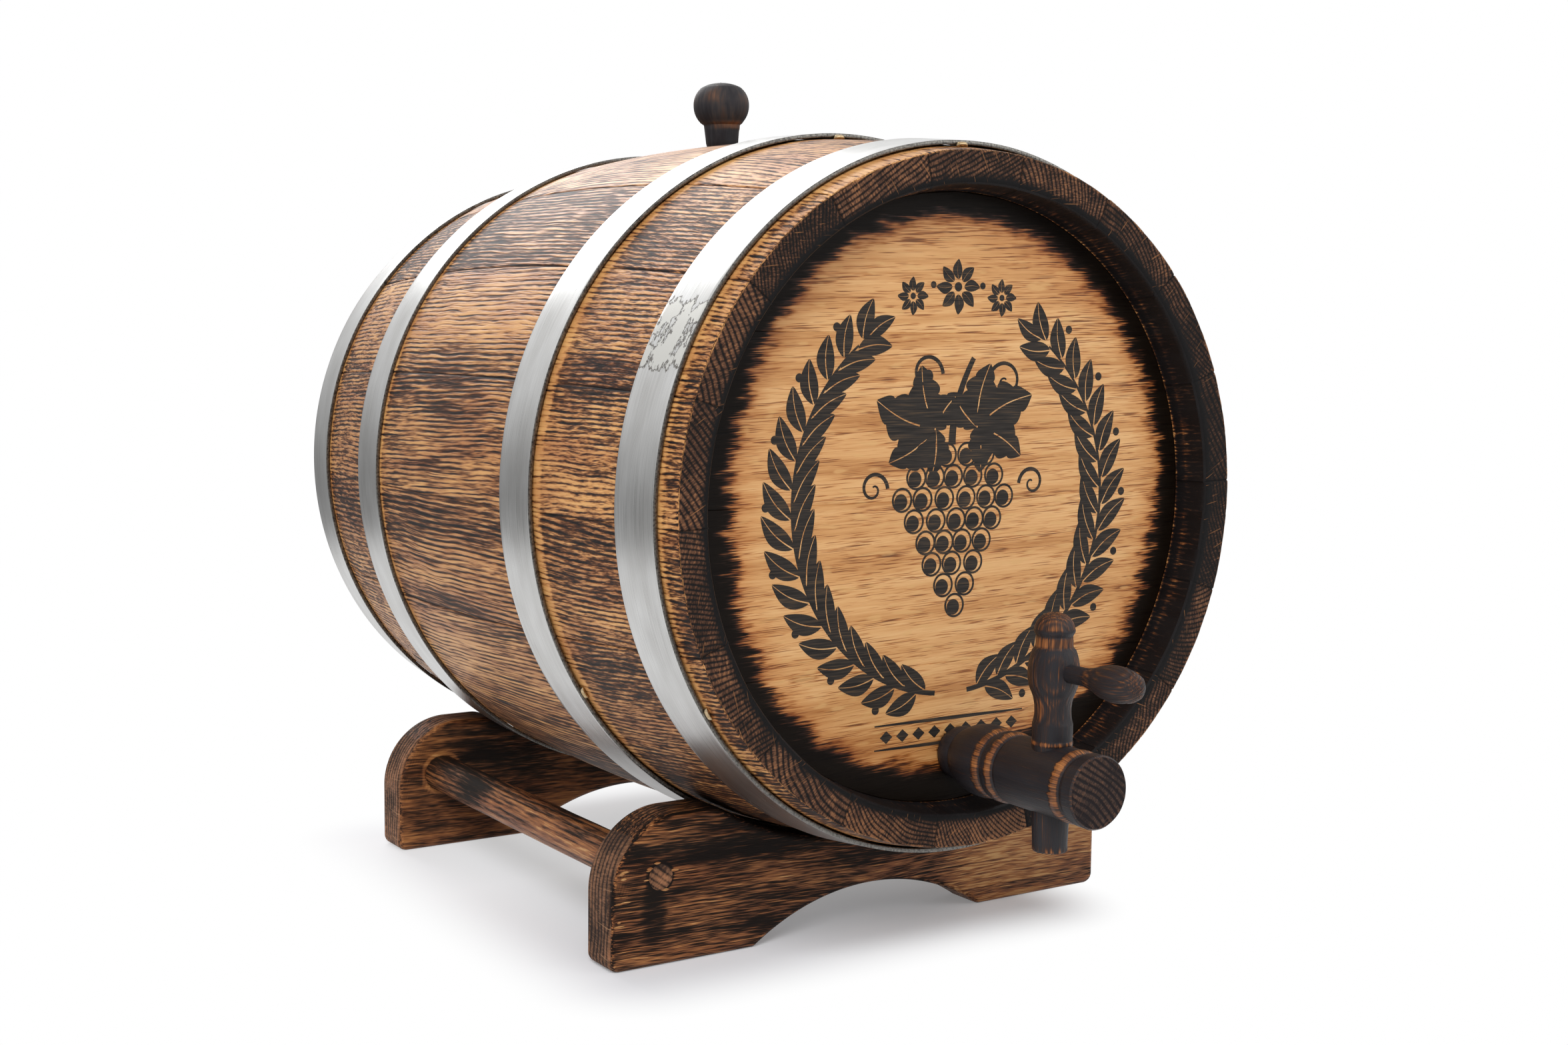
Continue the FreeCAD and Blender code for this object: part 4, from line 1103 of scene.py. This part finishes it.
# ------------------------------------------------------------------ turned pieces
def turned(name, corners, frame_of, log, extra, steps, step=0.5, flat_ends=(), frame_metres=floor_metres):
    """A turned piece: its outline in (along, radius) carried round an axis, with steps points
    round it and points step apart along it. frame_of gives the axis's foot, the direction along
    it and the two directions across. extra(along, radius, turn) adds to the burn, and the burn
    sinks the surface. A face square to the axis that lies between a pair of flat_ends shows end
    grain."""
    foot, ahead, side, up = (np.array(v, float) for v in frame_of)
    line = traced(corners, step)
    along, radius = line[:, :1], line[:, 1:]
    turn = np.linspace(0, TAU, steps, endpoint=False)[None, :]
    a, b = radius * np.cos(turn), radius * np.sin(turn)
    c = along + 0 * turn
    fields = log.fields(a, b, c, extra(c, radius + 0 * turn, turn + 0 * c))
    # The fibres' pattern is read on a plain cylinder, so that they run on through the grooves.
    more = radius.max() / np.maximum(radius, 0.6 * radius.max()) - 1.0
    fields["grain"][..., :2] += np.stack([a * more, b * more], -1)
    p = foot + c[..., None] * ahead + a[..., None] * side + b[..., None] * up
    height = 0.18 * smooth((fields["burn"] - 0.3) / 0.4) + 0.04
    # The turning tool left waves 0.05 mm high.
    height = height + 0.05 * noise(a / 3.0, b / 3.0, c / 9.0, log.seed + 8)
    # The grid's normal points outwards where the outline runs ahead and the three directions
    # are right-handed in this order.
    outward = np.sign(along[-1] - along[0]) * np.sign(np.dot(np.cross(ahead, up), side))
    inner = moved_along_normals(p, -height * outward)
    inner[0], inner[-1] = p[0], p[-1]
    quads = grid_quads(len(line), steps, wrap_columns=True)
    caps = end_caps(len(line), steps)
    ends = np.zeros(len(line) - 1, bool)
    for low, high in flat_ends:
        ends |= ((line[:-1, 0] >= low) & (line[:-1, 0] <= high)
                 & (np.abs(np.diff(line[:, 0])) < 0.3 * np.abs(np.diff(line[:, 1]))))
    which = np.concatenate([np.repeat(ends, steps), [1, 1]])
    return new_mesh(name, frame_metres(inner.reshape(-1, 3)), quads, caps, fields, which, crease=45.0)


TAP = [(52.0, 0.2), (52.0, 6.4), (51.0, 7.0), (14.0, 8.25), (13.95, 8.7, 10.8, 9.8),
       (7.6, 9.3, -2.5, 12.85), (-11.2, 12.0), (-12.4, 11.2), (-13.4, 12.3, -15.5, 12.6),
       (-17.6, 12.3), (-19.3, 11.3), (-21.0, 12.15), (-50.8, 12.35), (-52.9, 11.3), (-55.0, 12.4),
       (-59.4, 12.5), (-60.1, 11.8), (-60.1, 0.2)]


def tap_burn(along, radius, turn):
    """The shoulder behind each groove was rubbed brown, up to the groove's black line and most
    on the upper left, and so was the front edge."""
    ragged = noise(radius * turn / 0.9, along / 4.0, 0.0, 31)
    worn = np.zeros(along.shape)
    for groove, wide in ((-12.4, 3.0), (-19.3, 2.8), (-52.9, 3.8)):
        behind = along - groove
        worn += smooth((behind - 0.2) / 0.5) * smooth((wide * (1 + 0.22 * ragged) - behind) / 1.4 + 0.5)
    worn = worn * (0.85 + 0.3 * np.cos(turn - 2.4))
    front = smooth((-59.6 - along) / 0.5)
    edge = band(along, -60.0, -59.3, 0.5)
    return 0.72 - 1.15 * worn - 0.67 * front - 0.4 * edge


tap_axis = ((TAP_X, 0, TAP_Z), (0, 1, 0), (1, 0, 0), (0, 0, 1))
made = turned("tap_body_turned", TAP, tap_axis,
              Log(41, pith=(-30.0, -38.0), across=2.1, rings=0.04, streaks=0.15, patches=0.2,
                  streak=(1.6, 16.0), patch=(8.0, 20.0), wander=0.3),
              tap_burn, 170, flat_ends=((-60.2, -60.0),))
finished(made, [turned_oak, turned_end], "tap", ["tap_body"])

KEY = [(77.6, 0.2), (77.6, 3.5), (50.3, 3.5), (50.3, 5.6), (50.8, 6.05), (62.0, 6.45),
       (86.9, 6.9), (90.0, 7.0), (93.6, 7.0, 98.9, 6.3), (103.0, 7.1, 110.8, 8.75), (118.4, 7.4),
       (119.5, 6.35), (122.9, 6.2), (123.7, 6.75, 124.6, 7.05), (125.5, 6.75, 129.4, 4.5),
       (130.7, 0.8), (130.7, 0.2)]


def key_burn(along, radius, turn):
    """Rubbed brown at the spout's end, where the key enters the tap, round the bulge, in the
    groove under the knob and over the knob."""
    ragged = noise(radius * turn / 0.5, along / 5.0, 0.0, 61)
    low_edge = band(along, 49.0, 52.4, 2.4)
    entry = band(along, 86.5, 88.0, 0.8)
    neck = band(along, 95.0, 103.0, 5.0) * (0.6 + 0.4 * np.cos(turn - 3.6))
    bulge = band(along, 105.0, 117.0, 3.0)
    waist = band(along, 119.2, 122.8, 1.4)
    knob = smooth((along - 124.6) / 1.0)
    return (0.7 - (0.6 + 0.9 * ragged) * low_edge - (1.2 + 0.9 * ragged) * entry
            - (0.45 + 0.4 * ragged) * neck - (0.3 + 0.3 * ragged) * bulge
            - (1.1 + 0.3 * ragged) * waist - 0.85 * knob)


key_axis = ((TAP_X, KEY_Y, 0), (0, 0, 1), (1, 0, 0), (0, 1, 0))
made = turned("tap_key_turned", KEY, key_axis,
              Log(52, pith=(25.0, 30.0), across=1.2, rings=0.2, streaks=0.35, patches=0.3,
                  streak=(1.0, 12.0), patch=(5.0, 14.0), wander=0.3), key_burn, 110)
finished(made, [turned_oak, turned_end], "key", ["tap_key"])

HANDLE = [(-2.6, 0.2), (-2.6, 3.3), (-15.0, 3.3, -19.3, 3.9), (-22.8, 5.0, -30.0, 6.15),
          (-37.3, 5.0, -40.2, 3.1), (-41.3, 0.8), (-41.3, 0.2)]


def handle_burn(along, radius, turn):
    """The bulb was rubbed brown, more towards its tip, and most where it narrows to the stem."""
    ragged = noise(radius * turn / 0.5, along / 5.0, 0.0, 71)
    flare = band(along, -21.0, -17.0, 2.0)
    tip = smooth((-33.0 - along) / 6.0)
    return (0.75 - (0.6 + 0.3 * ragged) * flare - 0.4 * smooth((-22.0 - along) / 4.0)
            - (0.2 + 0.2 * ragged) * tip)


handle_axis = ((TAP_X, KEY_Y, HANDLE_Z), (0, 1, 0), (1, 0, 0), (0, 0, 1))
made = turned("tap_handle_turned", HANDLE, handle_axis,
              Log(63, pith=(12.0, -18.0), across=0.9, rings=0.16, streaks=0.4, patches=0.25,
                  streak=(0.8, 6.0), patch=(4.0, 10.0), wander=0.7), handle_burn, 150, step=0.3)
finished(made, [turned_oak, turned_end], "key", ["tap_handle"])

BUNG = [(113.2, 0.2), (113.2, 5.3), (113.6, 5.75), (132.0, 6.37), (133.5, 6.75), (140.6, 7.4),
        (141.4, 8.5, 148.4, 11.4), (155.7, 8.1, 157.1, 4.6), (157.6, 0.8), (157.6, 0.2)]


def bung_burn(along, radius, turn):
    """Rubbed brown round the neck, most at the right, and a little on the knob's shoulder."""
    neck = band(along, 138.6, 141.6, 1.6) * (0.5 + 0.5 * np.cos(turn + 1.1))
    shoulder = band(along, 149.0, 155.0, 3.0) * (0.5 + 0.5 * np.cos(turn + 2.9))
    return 0.5 + 0.25 * band(along, 120.0, 140.0, 2.0) - 1.2 * neck - 0.4 * shoulder


lean = math.radians(FIRST_JOINT + (BUNG_STAVE + 0.5) * 360.0 / STAVES)
bung_axis = ((0, BUNG_Y, 0), (math.cos(lean), 0, math.sin(lean)),
             (math.sin(lean), 0, -math.cos(lean)), (0, 1, 0))
made = turned("bung_turned", BUNG, bung_axis,
              Log(74, pith=(-20.0, 26.0), across=2.0, rings=0.03, streaks=0.2, patches=0.6,
                  streak=(3.0, 8.0), patch=(7.0, 9.0), wander=0.3),
              bung_burn, 140, frame_metres=cask_metres)
finished(made, [bung_oak, turned_end], "bung", ["bung"])

# The bung's hole in the top stave and the tap's in the lowest front board: the place along the
# axis and the radius at both ends of each.
BUNG_HOLE = ((110.0, 5.69), (135.0, 6.54))
TAP_HOLE = ((HEAD_DEPTH - 1.0, 8.33), (HEAD_DEPTH + HEAD_THICK + 1.0, 7.83))
tap_line = ((TAP_X, 0, TAP_Z - AXIS_Z), (0, 1, 0), (1, 0, 0), (0, 0, 1))
drilled(bpy.data.objects["stave_%02d_torched" % (BUNG_STAVE + 1)], bung_axis, *BUNG_HOLE)
drilled(bpy.data.objects["front_head_1_waxed"], tap_line, *TAP_HOLE)


# ------------------------------------------------------------------ cradle
def soft_min(a, b, k):
    """The lower of two curves, with their crossing rounded over a width of about k."""
    h = np.clip(0.5 + (b - a) / (2 * k), 0, 1)
    return b + (a - b) * h - k * h * (1 - h)


def board_layer(d, u, v):
    """Points (x, z) of a board whose outline is drawn in by d. u runs across it and v from the
    lower curve, which is the higher of the arch and the foot with its rounded outer corner, to
    the upper one, which is the lower of the round lobe and the saddle."""
    half = BOARD_HALF - d
    x = u * half
    lobe_x = np.abs(x) - (BOARD_HALF - LOBE_R)
    lobe = BOARD_TOP - LOBE_R + np.sqrt(np.maximum((LOBE_R - d) ** 2 - np.maximum(lobe_x, 0) ** 2, 0))
    saddle = AXIS_Z - np.sqrt(np.maximum((SADDLE_R + d) ** 2 - x * x, 1.0))
    top = soft_min(lobe, saddle, 2.2)
    arch_r = (FOOT_IN ** 2 + ARCH_HIGH ** 2) / (2 * ARCH_HIGH)
    arch = ARCH_HIGH - arch_r + np.sqrt(np.maximum((arch_r + d) ** 2 - x * x, 0))
    foot_x = np.abs(x) - (BOARD_HALF - FOOT_R)
    foot = FOOT_R - np.sqrt(np.maximum((FOOT_R - d) ** 2 - np.maximum(foot_x, 0) ** 2, 0))
    bottom = np.maximum(arch, foot)
    return x + 0 * v, bottom + v * (top - bottom)


# Where the flame lingered on a cradle board or passed quickly: middle x and z, half widths in x
# and z, and how much more the wood is burnt. The marks in OUTER_MARKS are on the face that looks
# away from the other board, and the rest go through.
BOARD_MARKS = ((-62, 41, 34, 9, 0.55), (-100, 44, 12, 10, 0.15), (-80, 6, 36, 8, -0.15),
               (-35, 26, 24, 8, -0.2), (5, 33, 40, 8, 0.15), (80, 14, 55, 30, -1.15),
               (100, 40, 20, 20, -0.3))
OUTER_MARKS = ((-94, 20, 6, 14, 0.8),)


def board_burn(x, deep, z, inner):
    """More burn in the marks, each fading smoothly as 1 minus the squared distance in half widths does, and
    on the outer face in a line round each tenon; darker within 5 mm of the saddle, under the cask; less
    round the rails' shoulders on the inner face."""
    extra = np.zeros(x.shape)
    for marks, where in ((BOARD_MARKS, 1.0), (OUTER_MARKS, ~inner)):
        for at_x, at_z, wide, high, amount in marks:
            extra += where * amount * smooth(1 - ((x - at_x) / wide) ** 2 - ((z - at_z) / high) ** 2)
    # Darker within 5 mm of the saddle, right under the cask.
    below = np.hypot(x, z - AXIS_Z) - SADDLE_R
    extra += 0.5 * smooth(1 - below / 5.0) * (below > -0.5)
    off = np.hypot(np.abs(x) - RAIL_X, z - RAIL_Z)
    extra += np.where(inner, -0.65 * band(off, 7.6, 9.4, 0.8), 0.9 * band(off, 4.6, 5.5, 0.5))
    return extra


def slivers(front_y, count=9, rows=9, sides=6):
    """Pale splinters torn out along the grain of the front board, count of them round the left
    tenon and count at the left edge: closed spindles, each as wide as sin(pi t), half sunk in
    the face."""
    pick = np.random.default_rng(5)
    turn = pick.uniform(0, TAU, count)
    at_tenon = np.stack([-RAIL_X + 5.6 * np.cos(turn), RAIL_Z + 5.2 * np.sin(turn)], 1)
    edge_x = pick.uniform(-109.5, -105.5, count)
    edge_z = pick.choice([17.5, 26.0, 34.5], count) + pick.uniform(-1.4, 1.4, count)
    place = np.concatenate([at_tenon, np.stack([edge_x, edge_z], 1)])[:, None, None, :]
    long = pick.uniform(1.6, 5.5, 2 * count)[:, None, None]
    wide = pick.uniform(0.18, 0.5, 2 * count)[:, None, None]
    t = np.linspace(0.02, 0.98, rows)[None, :, None]
    turn = np.linspace(0, TAU, sides, endpoint=False)[None, None, :]
    girth = wide * np.sin(math.pi * t)
    points = np.stack([place[..., 0] + long * (t - 0.5) + 0 * turn,
                       front_y - 0.05 - 0.35 * girth * np.sin(turn),
                       place[..., 1] + girth * np.cos(turn)], -1)
    starts = rows * sides * np.arange(2 * count)
    quads = starts[:, None, None] + grid_quads(rows, sides, wrap_columns=True)
    caps = [start + cap for start in starts for cap in end_caps(rows, sides)]
    return points.reshape(-1, 3), quads.reshape(-1, 4), caps


def board_columns():
    """Places u across a board: even, and closer together round the tenons and at the tips."""
    fine = np.linspace(-0.06, 0.06, 41)
    rail_u = RAIL_X / BOARD_HALF
    u = np.linspace(-1, 1, 190)
    u = u[np.abs(np.abs(u) - rail_u) > 0.063]
    tip = 1 - np.array([0.0005, 0.002, 0.005])
    return np.sort(np.concatenate([u, rail_u + fine, -rail_u + fine, tip, -tip]))[None, :]


def board_stations(ease=2.2):
    """How far the outline is drawn in, and how deep that is below the front face: round a
    quarter circle, through the thickness and round the other quarter circle."""
    round_over = np.radians(np.linspace(0, 90, 5))
    draw_in = ease * (1 - np.sin(round_over))
    sink_in = ease * (1 - np.cos(round_over))
    middle = np.linspace(ease, BOARD_THICK - ease, 22)[1:-1]
    inset = np.concatenate([draw_in, 0 * middle, draw_in[::-1]])
    return np.stack([inset, np.concatenate([sink_in, middle, BOARD_THICK - sink_in[::-1]])], 1)


def make_cradle(front_y, log):
    """One cradle board: a face grid on each side, and the face's border carried over two
    rounded edges and the thickness between. Its two flanks are sawn ends."""
    u, stations = board_columns(), board_stations()
    v = np.linspace(0, 1, 84)[:, None]
    rows, columns = len(v), u.shape[1]
    border = border_of(rows, columns)

    def layer(d, depth):
        x, z = board_layer(d, u, v)
        return np.stack([x, front_y + depth + 0 * x, z], 2).reshape(-1, 3)

    faces = [layer(*stations[0]), layer(*stations[-1])]
    rims = [layer(d, depth)[border] for d, depth in stations[1:-1]]
    points = np.concatenate(faces + rims)
    single = grid_quads(rows, columns)
    back = rows * columns + single[:, ::-1]
    rim_numbers = 2 * rows * columns + np.arange(len(rims) * len(border)).reshape(len(rims), -1)
    quads = np.concatenate([single, back] + stitched([border, *rim_numbers, rows * columns + border]))
    x, y, z = points.T
    deep = y - front_y
    inner = (deep > BOARD_THICK / 2) == (front_y < LENGTH / 2)
    fields = log.fields(z, deep, x, board_burn(x, deep, z, inner))
    which = np.zeros(len(quads), int)
    mid = points[quads].mean(1)
    flank = (np.abs(mid[:, 0]) > BOARD_HALF - 9.0) & (mid[:, 1] > front_y + 1.0)
    flank &= mid[:, 1] < front_y + BOARD_THICK - 1.0
    which[flank] = 1
    caps = []
    if front_y < LENGTH / 2:
        more, strips, caps = slivers(front_y)
        quads = np.concatenate([quads, strips + len(points)])
        caps = [cap + len(points) for cap in caps]
        torn = log.fields(more[:, 2], 0 * more[:, 0], more[:, 0], -1.3)
        fields = {name: np.concatenate([values, torn[name]]) for name, values in fields.items()}
        points = np.concatenate([points, more])
        which = np.concatenate([which, np.zeros(len(strips) + len(caps), int)])
    return points, quads, caps, fields, which


for end, board_y, seed, scorch, patches in (("front", FRONT_BOARD_Y, 81, 0.19, 0.3),
                                            ("rear", REAR_BOARD_Y, 92, -0.07, 0.55)):
    log = Log(seed, pith=(22.0, 110.0), across=2.3, slope=0.02, scorch=scorch, rings=0.06,
              streaks=0.25, patches=patches, streak=(1.7, 40.0), patch=(9.0, 40.0))
    points, quads, caps, fields, which = make_cradle(board_y - FRONT_Y, log)
    made = new_mesh(end + "_cradle_torched", floor_metres(points), quads, caps, fields, which)
    finished(made, [cradle_oak if end == "front" else soft_oak, cradle_end], "stand", [end + "_cradle"])


def rail_burn(along, radius, turn):
    """Darker along the top and towards the rear, and rubbed brown low on the left side."""
    rubbed = band(along, 30.0, 125.0, 40.0) * (0.5 + 0.5 * np.cos(turn - 3.4))
    return 0.1 + 0.25 * np.sin(turn) + 0.3 * smooth((along - 110.0) / 60.0) - 0.45 * rubbed


SPAN = REAR_BOARD_Y + BOARD_THICK - FRONT_BOARD_Y
RAIL = [(-TENON_PROUD, 0.2), (-TENON_PROUD, TENON_R), (TENON_LONG, TENON_R), (TENON_LONG, RAIL_R),
        (SPAN - TENON_LONG, RAIL_R), (SPAN - TENON_LONG, TENON_R), (SPAN + TENON_PROUD, TENON_R),
        (SPAN + TENON_PROUD, 0.2)]
for side, x, seed in (("left", -RAIL_X, 104), ("right", RAIL_X, 115)):
    rail_axis = ((x, FRONT_BOARD_Y - FRONT_Y, RAIL_Z), (0, 1, 0), (1, 0, 0), (0, 0, 1))
    made = turned(side + "_rail_turned", RAIL, rail_axis,
                  Log(seed, pith=(-18.0, -22.0), across=2.2, rings=0.08, patches=0.6,
                      streak=(2.0, 24.0), patch=(7.0, 24.0), wander=0.5),
                  rail_burn, 96, step=1.0, flat_ends=((-TENON_PROUD - 0.1, 0.0), (SPAN, SPAN + 0.4)))
    finished(made, [soft_oak, cradle_end], "stand", [side + "_rail"])


# ------------------------------------------------------------------ floor, light, camera
def white_paper(name):
    """Matt white paper with the cradle's soft shadow on it. To the camera and in the metal it
    turns into the white of the surround further off: away is the distance from the rectangle
    that the cradle covers."""
    made, tree, out = new_material(name)
    path = node(tree, "LightPath", out=None).outputs
    seen = node(tree, "Math", [path["Is Camera Ray"], path["Is Glossy Ray"]], operation="MAXIMUM")
    place = node(tree, "TexCoord", out="Object")
    # The rectangle sits 20 mm left of the cradle's middle, so on the right the glow starts inside the
    # cradle's outline: painted light that cuts the shadow back there.
    centred = node(tree, "Mapping", {"Vector": place, "Location": (0.02, -0.041, 0)})
    apart = node(tree, "VectorMath", [centred], operation="ABSOLUTE")
    apart = node(tree, "VectorMath", [apart, (0.085, 0.110, 0)], operation="SUBTRACT")
    apart = node(tree, "VectorMath", [apart, (0, 0, 0)], operation="MAXIMUM")
    away = node(tree, "VectorMath", [apart], "Value", operation="LENGTH")
    ahead = node(tree, "SeparateXYZ", [place], "Y")
    # Under the cradle the glow is painted light over the shadow: a share of 0.18 at the front, rising to 0.5
    # behind.
    least = node(tree, "MapRange", [ahead, -0.04, 0.06, 0.18, 0.5])
    blend = node(tree, "MapRange", [away, 0.0, 0.045, least, 1.0], interpolation_type="SMOOTHSTEP")
    # The metal sees the white floor end 0.72 m away.
    far = node(tree, "VectorMath", [place], "Value", operation="LENGTH")
    near = node(tree, "MapRange", [far, 0.70, 0.74, 1.0, 0.0])
    near = node(tree, "Math", [near, path["Is Camera Ray"]], operation="MAXIMUM")
    white = node(tree, "Math", [seen, blend], operation="MULTIPLY")
    paper = node(tree, "BsdfDiffuse", {"Color": linear("#EEEEF2")})
    bright = node(tree, "MapRange", [near, 0.0, 1.0, 0.3, 1.0])
    glow = node(tree, "Emission", {"Color": (1, 1, 1, 1), "Strength": bright})
    tree.links.new(node(tree, "MixShader", [white, paper, glow]), out)
    return made


def surround():
    """A white surround that shows to the camera and in the metal, where it is dimmer towards
    the horizon, and a soft cool light for everything else."""
    world = bpy.data.worlds.new("surround")
    bpy.context.scene.world = world
    world.use_nodes = True
    tree = world.node_tree
    tree.nodes.clear()
    path = node(tree, "LightPath", out=None).outputs
    shown = node(tree, "Math", [path["Is Camera Ray"], path["Is Glossy Ray"]], operation="MAXIMUM")
    light = node(tree, "Background", {"Color": (0.95, 0.97, 1.0, 1), "Strength": 0.4})
    height = node(tree, "SeparateXYZ", [node(tree, "TexCoord", out="Generated")], "Z")
    rising = node(tree, "MapRange", [height, -0.04, 0.34, 0.3, 1.0])
    rising = node(tree, "Math", [rising, path["Is Camera Ray"]], operation="MAXIMUM")
    white = node(tree, "Background", {"Color": (1, 1, 1, 1), "Strength": rising})
    out = tree.nodes.new("ShaderNodeOutputWorld").inputs["Surface"]
    tree.links.new(node(tree, "MixShader", [shown, light, white]), out)


def lamps():
    """Soft lamps: one above the front left, one above and behind, one low at the front right.
    The key lamp is left out of the metal, where it would burn out the hoops."""
    centre = np.array([0.0, 0.04, 0.16])
    for name, place, power, size in (("key_lamp", (-1.1, -1.2, 1.45), 27.0, 0.9),
                                     ("back_lamp", (0.1, 1.4, 1.3), 16.0, 1.0),
                                     ("fill_lamp", (1.3, -1.5, 0.8), 7.0, 1.0)):
        lamp = bpy.data.lights.new(name, "AREA")
        lamp.energy, lamp.size = power, size
        holder = bpy.data.objects.new(name, lamp)
        holder.location = place
        aim = centre - np.array(place)
        flat = math.hypot(aim[0], aim[1])
        holder.rotation_euler = (math.pi / 2 + math.atan2(aim[2], flat), 0,
                                 math.atan2(-aim[0], aim[1]))
        holder.visible_glossy = name != "key_lamp"
        bpy.context.scene.collection.objects.link(holder)


def camera():
    """The camera, left of the front head and a little above the cask's middle: right, up and
    back are its own directions, worked out from its azimuth and elevation and then rolled."""
    lens = bpy.data.cameras.new("camera")
    lens.lens, lens.sensor_width = 44.91, 36.0
    lens.clip_start, lens.clip_end = 0.01, 50.0
    holder = bpy.data.objects.new("camera", lens)
    bpy.context.scene.collection.objects.link(holder)
    holder.location = (-0.42462, -0.64193, 0.22202)
    azimuth, elevation, roll = (math.radians(v) for v in (-33.455, 5.582, 0.611))
    right = np.array([math.cos(azimuth), math.sin(azimuth), 0])
    back = np.array([math.sin(azimuth) * math.cos(elevation), -math.cos(azimuth) * math.cos(elevation),
                     math.sin(elevation)])
    up = np.cross(back, right)
    rolled_right = math.cos(roll) * right + math.sin(roll) * up
    rolled_up = math.cos(roll) * up - math.sin(roll) * right
    holder.rotation_euler = Matrix([rolled_right, rolled_up, back]).transposed().to_euler()
    bpy.context.scene.camera = holder


corners = np.array([(-2, -2, 0), (2, -2, 0), (2, 2, 0), (-2, 2, 0)], float)
floor = new_mesh("floor", corners, np.array([[0, 1, 2, 3]]))
floor.data.materials.append(white_paper("white_paper_floor"))
surround()
lamps()
camera()
bpy.context.scene.view_settings.view_transform = "Standard"
